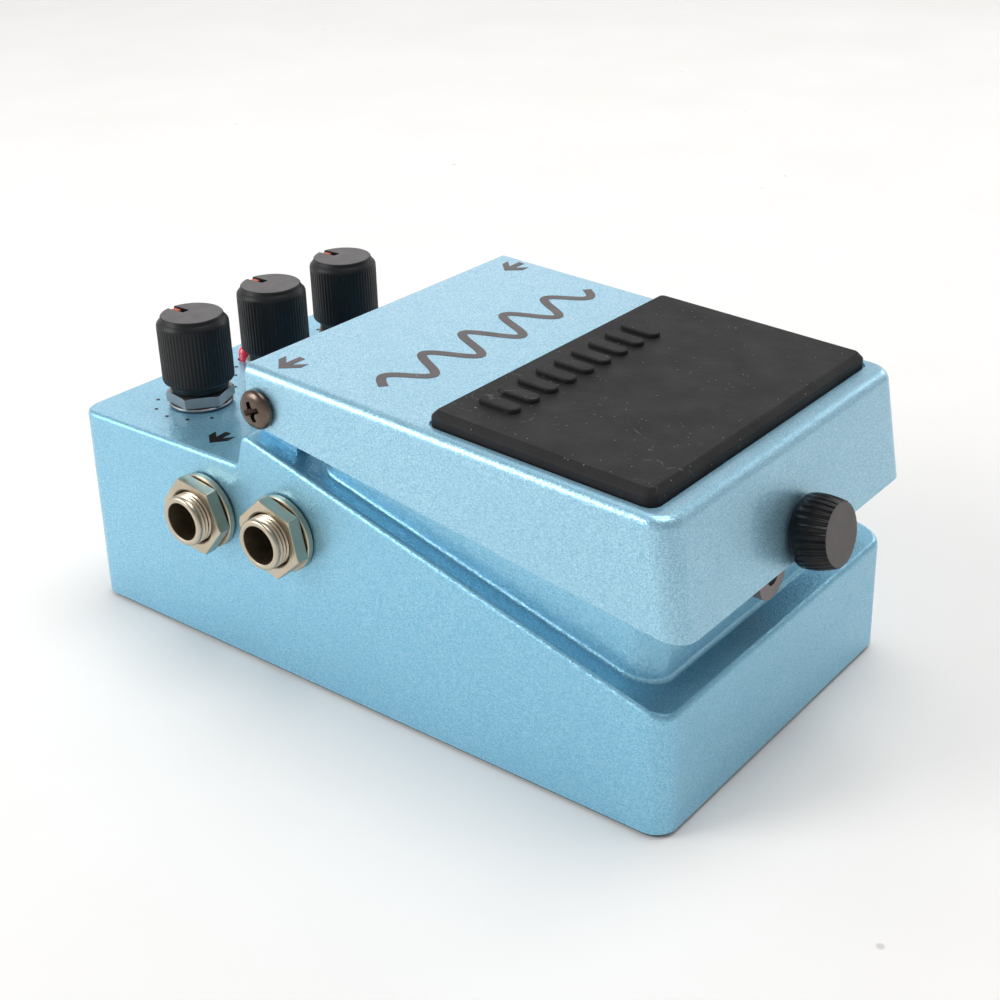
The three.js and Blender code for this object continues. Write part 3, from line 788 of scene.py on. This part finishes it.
def rubber_pad():
    """The pad with bevelled edges and a row of plain raised grip bars near its rear edge."""
    foot, top = 0.2 - PAD_SUNK, PAD_PROUD
    body = prism(pad_outline(0, PAD_CORNER), foot, top)
    soften(body, PAD_BEVEL, 1, lambda edge: centre_of(edge).z > top - 0.05)
    soften(body, 0.16, 2, lambda edge: centre_of(edge).z > foot + 0.5, sharpest=20)
    bars = []
    count, bar_half, pitch, first = 9, 1.35, 4.9, -24.6
    for k in range(count):
        x = first + k * pitch
        bar = prism(rectangle((x - bar_half, x + bar_half), (-29.0, -21.6), 1.2), top - 0.4, top + 0.8)
        soften(bar, 0.25, 2, lambda edge: centre_of(edge).z > top + 0.4)
        bars.append(bar)
    whole = joined(body, *bars)
    return reshape(whole, lambda p: Vector((p.x, p.y, p.z + treadle_top_at(p.y))))


piece("rubber_pad_visual", rubber_pad(), PAD_RUBBER, "treadle", ["rubber_pad"], 20)


# ---- controls ----


KNOB_RIBS = 60


def knob_ribs(radius, z, angle):
    """Fine vertical ribs round the barrel, fading out at its two ends."""
    if radius < 6.69:
        return radius
    return radius - 0.1 * (0.5 + 0.5 * math.cos(KNOB_RIBS * angle))


def knob(base_z):
    bevel_foot, top = 16.2, 17.7
    profile = [
        (0, 12.9), (3.2, 12.9), (3.2, 4.2), (4.2, 4.2), (4.2, 3.2), (5.25, 3.2), (5.4, 3.35),
        (5.4, 4.4), (6.3, 4.75), (6.55, 4.95), (6.7, 5.3), (6.7, 8.5), (6.7, 12.0), (6.7, 15.4),
        (6.68, 15.9), (6.6, bevel_foot), (6.1, 16.8), (5.95, 16.95), (5.85, 17.1),
        (5.8, 17.5), (5.65, 17.66), (5.5, top), (0, top),
    ]
    body = turned(profile, 6 * KNOB_RIBS, knob_ribs)
    notch = prism(rectangle((-0.8, 0.8), (1.4, 8), 0.3), 16.8, 19)
    return moved(cut(body, notch), z=base_z)


def hex_nut(flats, foot, top, bore, turn=0.0):
    """A hexagon nut with chamfered corners on its upper side and a countersunk bore."""
    reach = flats / math.sqrt(3)
    blank = turned([(0, foot), (reach, foot), (reach, top), (0, top)], 6)
    cone = turned(
        [
            (0, foot - 1), (reach + 1, foot - 1), (reach + 1, top - 1.0),
            (reach - 0.12, top - 0.16), (reach - 0.5, top), (0, top),
        ],
        72,
    )
    bore_tool = turned(
        [(0, foot - 1), (bore, foot - 1), (bore, top - 0.35), (bore + 0.5, top + 0.15), (0, top + 0.15)]
    )
    nut = cut(crossed(blank, cone), bore_tool)
    soften(nut, 0.09, 1, sharpest=35)
    bmesh.ops.rotate(nut, verts=nut.verts, matrix=Matrix.Rotation(turn, 3, "Z"))
    return nut


def washer(outer, inner, foot, top):
    edge = min(0.18, (top - foot) / 3)
    return tube(
        [
            (inner, foot), (outer - edge, foot), (outer, foot + edge), (outer, top - edge),
            (outer - edge, top), (inner + 0.1, top), (inner, top - 0.1),
        ],
        72,
    )


def threaded(core, depth, pitch, low, high):
    """Profile points of a thread's ridges between two heights."""
    points = []
    z = low
    while z + pitch <= high:
        root = core - depth
        points += [(core, z), (root, z + pitch * 0.35), (root, z + pitch * 0.5), (core, z + pitch * 0.85)]
        z += pitch
    return points


for k in CONTROLS:
    centre = middle(f"control_shaft_{k}")
    at = {"x": centre.x, "y": centre.y}
    made = moved(knob(DECK), **at)
    barrel = piece(
        f"control_knob_{k}_visual", made, KNOB_BLACK, f"knob_{k}",
        [f"control_knob_{k}"], 50,
    )
    # The knob's upward faces take the lighter grey: painted sheen.
    barrel.data.materials.append(SHEEN_KNOB_TOP)
    top_z = span(f"control_knob_{k}")[1].z * MM
    for face in barrel.data.polygons:
        if face.center.z > top_z - 0.0004 and face.normal.z > 0.9:
            face.material_index = 1
    low, high = span(f"control_pointer_{k}")
    inset = prism(rectangle((low.x + 0.12, high.x - 0.12), (low.y, high.y - 0.3), 0.15), low.z, high.z - 0.1)
    soften(inset, 0.1, 2, lambda edge: centre_of(edge).z > high.z - 0.2)
    piece(f"control_pointer_{k}_visual", inset, ORANGE, f"knob_{k}",
          [f"control_pointer_{k}"])
    low, high = span(f"control_nut_{k}")
    nut = moved(hex_nut(11, low.z, DECK + 2.9, 3.8, math.radians(12 + 9 * k)), **at)
    piece(f"control_nut_{k}_visual", nut, NUT_STEEL, "base", [f"control_nut_{k}"], 25)
    low, high = span(f"control_washer_{k}")
    disc = moved(washer(6.0, 3.8, low.z, high.z), **at)
    piece(f"control_washer_{k}_visual", disc, NUT_STEEL, "base", [f"control_washer_{k}"])


# ---- jacks ----


def outward(solid, side, y, z):
    """Lays a piece made about Z along X, pointing out of the side wall."""
    turn = Matrix.Rotation(side * math.pi / 2, 4, "Y")
    bmesh.ops.transform(solid, matrix=turn, verts=solid.verts)
    return moved(solid, 0, y, z)


def jack_bushing(foot, flange_top, tip):
    thread, bore, flange = 4.65, 3.5, 6.2
    lip = tip - 0.6
    outside = [
        (flange, foot), (flange, flange_top), (thread, flange_top),
        *threaded(thread, 0.3, 0.72, lip - 6 * 0.72, lip),
        (thread, tip - 0.4), (thread - 0.12, tip - 0.14), (thread - 0.32, tip),
    ]
    inside = [
        (bore + 0.3, tip), (bore + 0.08, tip - 0.12), (bore, tip - 0.4), (bore, foot),
    ]
    return tube(outside + inside, 72)


def jack_body(low, high):
    """The moulded block behind the wall, with rounded edges and the plug's bore right through."""
    block = prism(rectangle((-6.5, 6.5), (-6, 6), 1), low, high)
    soften(block, 0.35, 2)
    return cut(block, rod(3.5, low - 1, high + 1, 40))


WASHER_EXTRA = 0.4  # a dished washer takes this much of the nut's height
NUT_TURNS = {"output_jack_rear": 21, "output_jack_front": 12, "input_jack": 40}

for name in JACK_NAMES:
    low, high = span(f"{name}_washer")
    side = 1 if low.x > 0 else -1
    centre = middle(f"{name}_washer")

    def reach_of(part):
        """How far in and out from the pedal's middle a part of this jack runs."""
        ends = [abs(corner.x) for corner in span(f"{name}_{part}")]
        return min(ends), max(ends)

    def add(part, solid, material, angle=30):
        laid = outward(solid, side, centre.y, centre.z)
        piece(f"{name}_{part}_visual", laid, material, "base", [f"{name}_{part}"], angle)

    inner, outer = reach_of("washer")
    add("washer", washer(7.0, 4.95, inner, outer + WASHER_EXTRA), NICKEL)
    inner, outer = reach_of("nut")
    turn = math.radians(NUT_TURNS[name])
    add("nut", hex_nut(12.7, inner + WASHER_EXTRA, outer, 4.95, turn), NICKEL, 25)
    inner, outer = reach_of("bushing")
    add("bushing", jack_bushing(inner, inner + 2, outer), NICKEL, 40)
    inner, outer = reach_of("body")
    add("body", jack_body(inner, outer), MOULDING)


# ---- hinge screws and thumbscrew ----


HEAD_HEIGHT = 1.8


def pan_screw(head, recess_turn):
    """A pan-head screw about Z with a cross recess; head is the height of the underside."""
    core, tip = 1.35, 26.7
    dome = [
        (3.34, head), (3.5, head + 0.16), (3.5, head + 0.5), (3.42, head + 0.8), (3.2, head + 1.08),
        (2.8, head + 1.34), (2.2, head + 1.56), (1.3, head + 1.74), (0, head + HEAD_HEIGHT),
    ]
    shank = [(0, tip), (core - 0.2, tip), (core, tip + 0.3)]
    screw = turned(shank + threaded(core, 0.18, 0.7, tip + 0.5, 34.5) + [(core, head)] + dome, 64)
    slots = []
    recess_foot = head + 0.35
    for turn in (0, math.pi / 2):
        blade = prism(rectangle((-2.05, 2.05), (-0.48, 0.48), 0.2, 3), recess_foot, head + 3)
        for vertex in blade.verts:
            vertex.co.x *= 0.45 if vertex.co.z < recess_foot + 0.1 else 1.35
        bmesh.ops.rotate(blade, verts=blade.verts, matrix=Matrix.Rotation(turn + recess_turn, 3, "Z"))
        slots.append(blade)
    pit = turned([(0, head + 0.1), (0.4, head + 0.15), (1.1, head + 2.2), (0, head + 2.2)], 24)
    return cut(screw, *slots, pit)


for side, label, turn in ((-1, "left", 0.35), (1, "right", -0.6)):
    head = max(abs(corner.x) for corner in span(f"hinge_screw_{label}")) - HEAD_HEIGHT
    screw = outward(pan_screw(head, turn), side, HINGE_Y, HINGE_Z)
    piece(f"hinge_screw_{label}_visual", screw, BRONZE, "treadle_carrier",
          [f"hinge_screw_{label}"], 28)


def latch_ribs(radius, z, angle):
    """Thirty rounded grip ribs, which fade out at the rear shoulder."""
    if radius < 5.3 or z < 0.05:
        return radius
    fade = min(1.0, max(0.0, (LATCH_LENGTH - 1.0 - z) / 1.4))
    return radius - 0.3 * fade * (0.5 + 0.5 * math.cos(30 * angle))


def latch_head():
    flank = [(5.4 + 0.7 * math.sin(share * math.pi / 2), 0.25 + 3.75 * share)
             for share in (0, 0.1, 0.25, 0.45, 0.7, 1)]
    shoulder = [(5.3 + 0.8 * math.cos(a), 4.95 + 1.25 * math.sin(a))
                for a in (0, math.pi / 8, math.pi / 4, 3 * math.pi / 8, math.pi / 2)]
    profile = [
        (0, 0.03), (4.6, 0.03), (5.15, 0.0), (5.3, 0.06), *flank, (6.1, 4.5), *shoulder,
        (1.6, LATCH_LENGTH), (1.6, 2.7), (0, 2.7),
    ]
    return turned(profile, 360, latch_ribs)


latch = piece("thumbscrew_head_visual", onto_latch(latch_head()), GLOSS_BLACK, "thumbscrew",
              ["thumbscrew_head"], 40)
latch.data.materials.append(LATCH_FACE)
LATCH_AXIS = Vector((0, -math.cos(LATCH_DIP), math.sin(LATCH_DIP)))
for face in latch.data.polygons:
    if face.normal.dot(LATCH_AXIS) > 0.97:
        face.material_index = 1

shank = [
    (0, 3.0), (1.1, 3.0), (1.3, 3.2), *threaded(1.3, 0.15, 0.6, 6.4, 10.1),
    (1.3, 10.2), (1.0, 10.7), (0, 10.7),
]
piece("thumbscrew_shank_visual", onto_latch(turned(shank, 40)), STEEL, "thumbscrew",
      ["thumbscrew_shank"])


# ---- bush, light, spring, switch ----


def guide_bush():
    low, high = span("guide_bush")
    plate = upright_slot((high.x - low.x) / 2, low.y, TUB_FRONT - 0.3)
    soften(plate, 0.3, 2, lambda edge: centre_of(edge).y < low.y + 0.1)
    spigot = upright_slot(2.9, TUB_FRONT - 1.3, high.y)
    return cut(joined(plate, spigot), upright_slot(1.65, low.y - 1, high.y + 1))


piece("guide_bush_visual", guide_bush(), BUSH_GREY, "base", ["guide_bush"])


def lamp():
    low, high = span("indicator_led")
    radius, dome = 1.5, 1.5
    profile = [(0, low.z), (1.9, low.z), (1.9, low.z + 2.4), (radius, low.z + 2.4)]
    for step in range(9):
        angle = step / 8 * math.pi / 2
        profile.append((radius * math.cos(angle) if step < 8 else 0, high.z - dome + dome * math.sin(angle)))
    where = middle("indicator_led")
    return moved(turned(profile, 40), where.x, where.y)


piece("indicator_led_visual", lamp(), RED_LENS, "base", ["indicator_led"], 45)


def coil(radius, wire, foot, top, turns, steps=30, sides=12):
    """A compression spring whose last turn at each end lies flat, as closed and ground ends do."""
    solid = bmesh.new()
    count = turns * steps
    rings = []
    for index in range(count + 1):
        share = index / count
        closed = 1.0 / turns
        rise = min(max((share - closed) / (1 - 2 * closed), 0.0), 1.0)
        dead = wire * 1.05
        z = foot + wire + dead * min(share / closed, 1) + dead * max((share - 1 + closed) / closed, 0)
        z += rise * (top - foot - 2 * wire - 2 * dead)
        angle = 2 * math.pi * turns * share
        radial = Vector((math.cos(angle), math.sin(angle), 0))
        ring = []
        for side in range(sides):
            about = 2 * math.pi * side / sides
            spot = radial * (radius + wire * math.cos(about)) + Vector((0, 0, z + wire * math.sin(about)))
            ring.append(solid.verts.new(spot))
        rings.append(ring)
    for lower, upper in zip(rings, rings[1:]):
        for side in range(sides):
            after = (side + 1) % sides
            solid.faces.new((lower[side], lower[after], upper[after], upper[side]))
    for ring in (rings[0], rings[-1]):
        solid.faces.new(ring)
    bmesh.ops.recalc_face_normals(solid, faces=solid.faces)
    return solid


COIL_RADIUS, COIL_WIRE = 5.2, 0.65
low, high = span("return_spring")
spring_at = middle("return_spring")
spring = piece(
    "return_spring_visual",
    moved(coil(COIL_RADIUS, COIL_WIRE, low.z, high.z, 7), spring_at.x, spring_at.y),
    STEEL, "base", ["return_spring"], 60,
)


def capped_rod(node_name, radius, edge=0.5):
    """A rod in a node's place with a rounded top edge."""
    low, high = span(node_name)
    where = middle(node_name)
    profile = [(0, low.z), (radius, low.z), (radius, high.z - edge)]
    profile += [(radius - edge * (1 - math.cos(a)), high.z - edge * (1 - math.sin(a)))
                for a in (math.pi / 6, math.pi / 3, math.pi / 2)]
    return moved(turned(profile + [(0, high.z)], 40), where.x, where.y)


piece("foot_switch_plunger_visual", capped_rod("foot_switch_plunger", 2.5), KNOB_BLACK,
      "switch_plunger", ["foot_switch_plunger"])
piece("stop_buffer_visual", capped_rod("stop_buffer", 3.0, 0.4), BASE_RUBBER, "base",
      ["stop_buffer"])


# ---- battery ----


def battery_can():
    """The battery's sleeve with rolled ends, a sunk terminal plate and its two snap studs."""
    low, high = span("battery")
    shoulder = high.y - 2.5
    x, z = (low.x, high.x), (low.z, high.z)
    can = forward(rectangle(x, z, 2.0), low.y, shoulder)
    soften(can, 0.7, 3)
    rim = (x[0] + 1.1, x[1] - 1.1), (z[0] + 1.1, z[1] - 1.1)
    sunk = forward(rectangle(*rim, 1.2), shoulder - 0.5, shoulder + 1)
    centre = middle("battery")
    studs = []
    for side in (-1, 1):
        stud = turned([(0, -1), (2.8, -1), (2.8, 0.9), (2.5, 1.3), (2.5, 2.2), (2.2, 2.5), (0, 2.5)], 32)
        pointing(stud, (0, 1, 0))
        studs.append(moved(stud, centre.x + side * 6.4, shoulder, centre.z))
    return joined(cut(can, sunk), *studs)


def battery_clip():
    """The snap: a soft plate with rounded ends and a raised middle where its two wires leave."""
    low, high = span("battery_snap")
    plate = forward(rectangle((low.x, high.x), (low.z, high.z), 3.5), low.y, high.y - 1.0)
    soften(plate, 0.35, 2)
    centre = middle("battery_snap")
    raised = rectangle((centre.x - 5, centre.x + 5), (low.z + 2.5, high.z - 2.5), 2)
    hump = forward(raised, low.y + 0.5, high.y)
    soften(hump, 0.5, 2, lambda edge: centre_of(edge).y > high.y - 0.1)
    return joined(plate, hump)


piece("battery_visual", battery_can(), SLEEVE, "base", ["battery"])
piece("battery_snap_visual", battery_clip(), MOULDING, "base", ["battery_snap"])


# ---- underside and rear ----


def rubber_base():
    low, high = span("rubber_base")
    thin = prism(rectangle((low.x, high.x), (low.y, high.y), CORNER - 0.6, 8), low.z, RIM_FOOT - 0.1)
    inner = WALL + 0.5
    x, y = (low.x + inner, high.x - inner), (low.y + inner, high.y - inner)
    sheet = joined(thin, prism(rectangle(x, y, 1.5), low.z + 0.1, high.z))
    holes = [hole_at(f"bottom_screw_{k}", 3.7, (0, 0, 1), 8, 40) for k in SCREWS]
    return cut(sheet, *holes)


piece("rubber_base_visual", rubber_base(), BASE_RUBBER, "base", ["rubber_base"])


def bottom_screw(name):
    low, high = span(name)
    where = middle(name)
    head_top = 1.0
    profile = [(0, low.z), (2.6, low.z), (3.1, low.z + 0.15), (3.2, low.z + 0.35), (3.2, head_top),
               (1.5, head_top), *threaded(1.5, 0.2, 0.8, 1.6, high.z - 0.6), (1.5, high.z - 0.5),
               (1.1, high.z), (0, high.z)]
    screw = turned(profile, 40)
    slots = []
    for turn in (0.4, 0.4 + math.pi / 2):
        blade = prism(rectangle((-1.6, 1.6), (-0.35, 0.35), 0.15, 3), low.z - 1, low.z + 0.45)
        bmesh.ops.rotate(blade, verts=blade.verts, matrix=Matrix.Rotation(turn, 3, "Z"))
        slots.append(blade)
    return moved(cut(screw, *slots), where.x, where.y)


for k in SCREWS:
    name = f"bottom_screw_{k}"
    piece(f"{name}_visual", bottom_screw(name), STEEL, "base", [name])


def power_socket():
    """The power inlet: a round mouth with a raised rim, on a square block behind the wall."""
    pin = middle("power_socket_pin")
    radius, bore, face = 4.0, 2.9, span("power_socket_body")[1].y
    mouth = turned([(0, face - 4.2), (radius, face - 4.2), (radius, face - 0.25), (radius - 0.25, face),
                    (bore + 0.5, face), (bore, face - 0.5), (0, face - 0.5)], 56)
    pointing(mouth, (0, 1, 0))
    block = prism(rectangle((-5, 5), (-5.5, 5.5), 0.6), face - 14, face - 3.5)
    pointing(block, (0, 1, 0))
    whole = joined(block, mouth)
    bore_tool = pointing(rod(bore, face - 11, face + 1, 56), (0, 1, 0))
    return moved(cut(whole, bore_tool), pin.x, 0, pin.z)


piece("power_socket_body_visual", power_socket(), MOULDING, "base",
      ["power_socket_body"])


# ---- CAD nodes that keep their shape ----

KEPT = {
    "bottom_plate": STEEL,
    "foot_switch_body": MOULDING,
    "power_socket_pin": NICKEL,
    "control_board": BOARD,
    "main_board": BOARD,
    "hinge_bush_left": BUSH_GREY,
    "hinge_bush_right": BUSH_GREY,
    "thumbscrew_clip": STEEL,
}
for k in CONTROLS:
    KEPT[f"control_pot_{k}"] = STEEL
    KEPT[f"control_shaft_{k}"] = STEEL
for name, material in KEPT.items():
    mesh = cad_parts[name].data
    mesh.materials.clear()
    mesh.materials.append(material)


# ---- printed marks ----

INK = 0.05  # thickness of the print


def print_on_treadle(name, outlines):
    """Flat marks that follow the treadle's slope."""
    whole = bmesh.new()
    for outline in outlines:
        add_mark(whole, on_treadle(outline, 0.0, INK))
    piece(name, whole, TREADLE_INK, "treadle")


def print_on_deck(name, outlines):
    whole = bmesh.new()
    for outline in outlines:
        add_mark(whole, prism(outline, DECK, DECK + INK))
    piece(name, whole, DECK_INK, "base")


def add_mark(whole, solid):
    mesh = bpy.data.meshes.new("mark")
    solid.to_mesh(mesh)
    solid.free()
    whole.from_mesh(mesh)
    bpy.data.meshes.remove(mesh)


def placed(outline, x, y, turn=0.0):
    c, s = math.cos(turn), math.sin(turn)
    return [(x + a * c - b * s, y + a * s + b * c) for a, b in outline]


def arrow(size, stroke):
    """Outline of an arrow that points along -X, with its tip at the origin."""
    barb, tail, thick = size * 0.46, size, stroke * 1.45
    neck = thick + stroke / 2
    return [
        (0, 0), (barb, barb), (barb + thick, barb), (neck, stroke / 2), (tail, stroke / 2),
        (tail, -stroke / 2), (neck, -stroke / 2), (barb + thick, -barb), (barb, -barb),
    ]


def ribbon(points, width):
    """Outline of a stroke of even width along a smooth line."""
    left, right = [], []
    for index, point in enumerate(points):
        before = Vector(points[max(index - 1, 0)])
        after = Vector(points[min(index + 1, len(points) - 1)])
        along = (after - before).normalized()
        aside = Vector((-along.y, along.x)) * width / 2
        left.append(tuple(Vector(point) + aside))
        right.append(tuple(Vector(point) - aside))
    return left + right[::-1]


def swelling_wave():
    """A plain wave that swells and fades, in place of any lettering."""
    steps, low, high = 180, -27.0, 30.0
    line = []
    for step in range(steps + 1):
        share = step / steps
        swell = 0.55 + 0.45 * math.sin(math.pi * share)
        line.append((low + (high - low) * share, -3.2 + 4.3 * swell * math.sin(2 * math.pi * 5 * share)))
    return ribbon(line, 1.7)


arrows = [placed(arrow(5.6, 1.25), -33.0, 14.6), placed(arrow(5.4, 1.25), 27.8, 14.6)]
print_on_treadle("treadle_arrows", arrows)
print_on_treadle("treadle_wave", [swelling_wave()])
SCALE_MARKS, SCALE_RADIUS = 11, 8.6
dots = []
for k in CONTROLS:
    centre = middle(f"control_shaft_{k}")
    for mark in range(SCALE_MARKS):
        angle = math.radians(-60 + 300 * mark / (SCALE_MARKS - 1))
        x, y = centre.x + SCALE_RADIUS * math.cos(angle), centre.y + SCALE_RADIUS * math.sin(angle)
        dots.append(circle(0.36, 14, x, y))
print_on_deck("knob_scales", dots)
print_on_deck("deck_arrows", [placed(arrow(5.0, 1.3), -32.3, 35.0, 0.1)])


# ---- floor, light and camera ----


def area_light(name, place, towards, size, energy, color=(1, 1, 1)):
    lamp_data = bpy.data.lights.new(name, "AREA")
    lamp_data.shape = "RECTANGLE"
    lamp_data.size, lamp_data.size_y = size
    lamp_data.energy = energy
    lamp_data.color = color
    made = bpy.data.objects.new(name, lamp_data)
    bpy.context.scene.collection.objects.link(made)
    made.location = place
    made.rotation_euler = (Vector(towards) - Vector(place)).to_track_quat("-Z", "Y").to_euler()


def add_floor():
    floor = as_object(prism(rectangle((-4, 4), (-4, 4), 0.5), -0.002, -0.0002), "floor")
    floor.data.materials.append(pale_floor())


def add_world():
    world = bpy.data.worlds.new("studio")
    bpy.context.scene.world = world
    world.use_nodes = True
    tree = world.node_tree
    backdrop = tree.nodes["Background"]
    direction = node(tree, "SeparateXYZ", {0: node(tree, "TexCoord").outputs["Generated"]}).outputs
    overhead = ramp(tree, direction[2], 0.1, 0.9)
    sky = mixed(tree, overhead, rgb(0.805, 0.80, 0.795), rgb(0.25, 0.25, 0.25))
    tree.links.new(sky, backdrop.inputs["Color"])
    brighter_behind = ramp(tree, direction[1], -0.9, 0.9, 0.72, 1.15)
    tree.links.new(brighter_behind, backdrop.inputs["Strength"])


# The camera looks along this direction at a point near the pedal's middle.
AZIMUTH, ELEVATION, ROLL = (math.radians(a) for a in (-51.3, 26.9, -1.44))
TARGET = Vector((0.00994, 0.00283, 0.01999))
CAMERA_DISTANCE = 0.2981
LENS = 56.06


def add_camera():
    back = Vector((
        math.sin(AZIMUTH) * math.cos(ELEVATION), -math.cos(AZIMUTH) * math.cos(ELEVATION), math.sin(ELEVATION)
    ))
    right = Vector((0, 0, 1)).cross(back).normalized()
    level = Matrix((right, back.cross(right), back)).transposed()
    turn = (level @ Matrix.Rotation(ROLL, 3, "Z")).to_4x4()
    data = bpy.data.cameras.new("camera")
    data.lens = LENS
    data.sensor_width = 36
    data.clip_start = 0.01
    camera = bpy.data.objects.new("camera", data)
    bpy.context.scene.collection.objects.link(camera)
    camera.matrix_world = Matrix.Translation(TARGET + back * CAMERA_DISTANCE) @ turn
    bpy.context.scene.camera = camera


add_floor()
add_world()
add_camera()
area_light("overhead", (0.2, -0.1, 1.2), (0, 0, 0.03), (0.8, 0.8), 7.8)
area_light("far_softbox", (0.62, 0.72, 0.52), (0, 0, 0.03), (0.9, 0.6), 1.1)
area_light("left_softbox", (-0.75, 0.6, 0.5), (0, 0, 0.03), (0.5, 0.5), 5.4)
area_light("right_softbox", (0.9, -0.15, 0.4), (0, 0, 0.03), (0.3, 0.3), 0.9)
bpy.context.scene.view_settings.view_transform = "Standard"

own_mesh(spring)
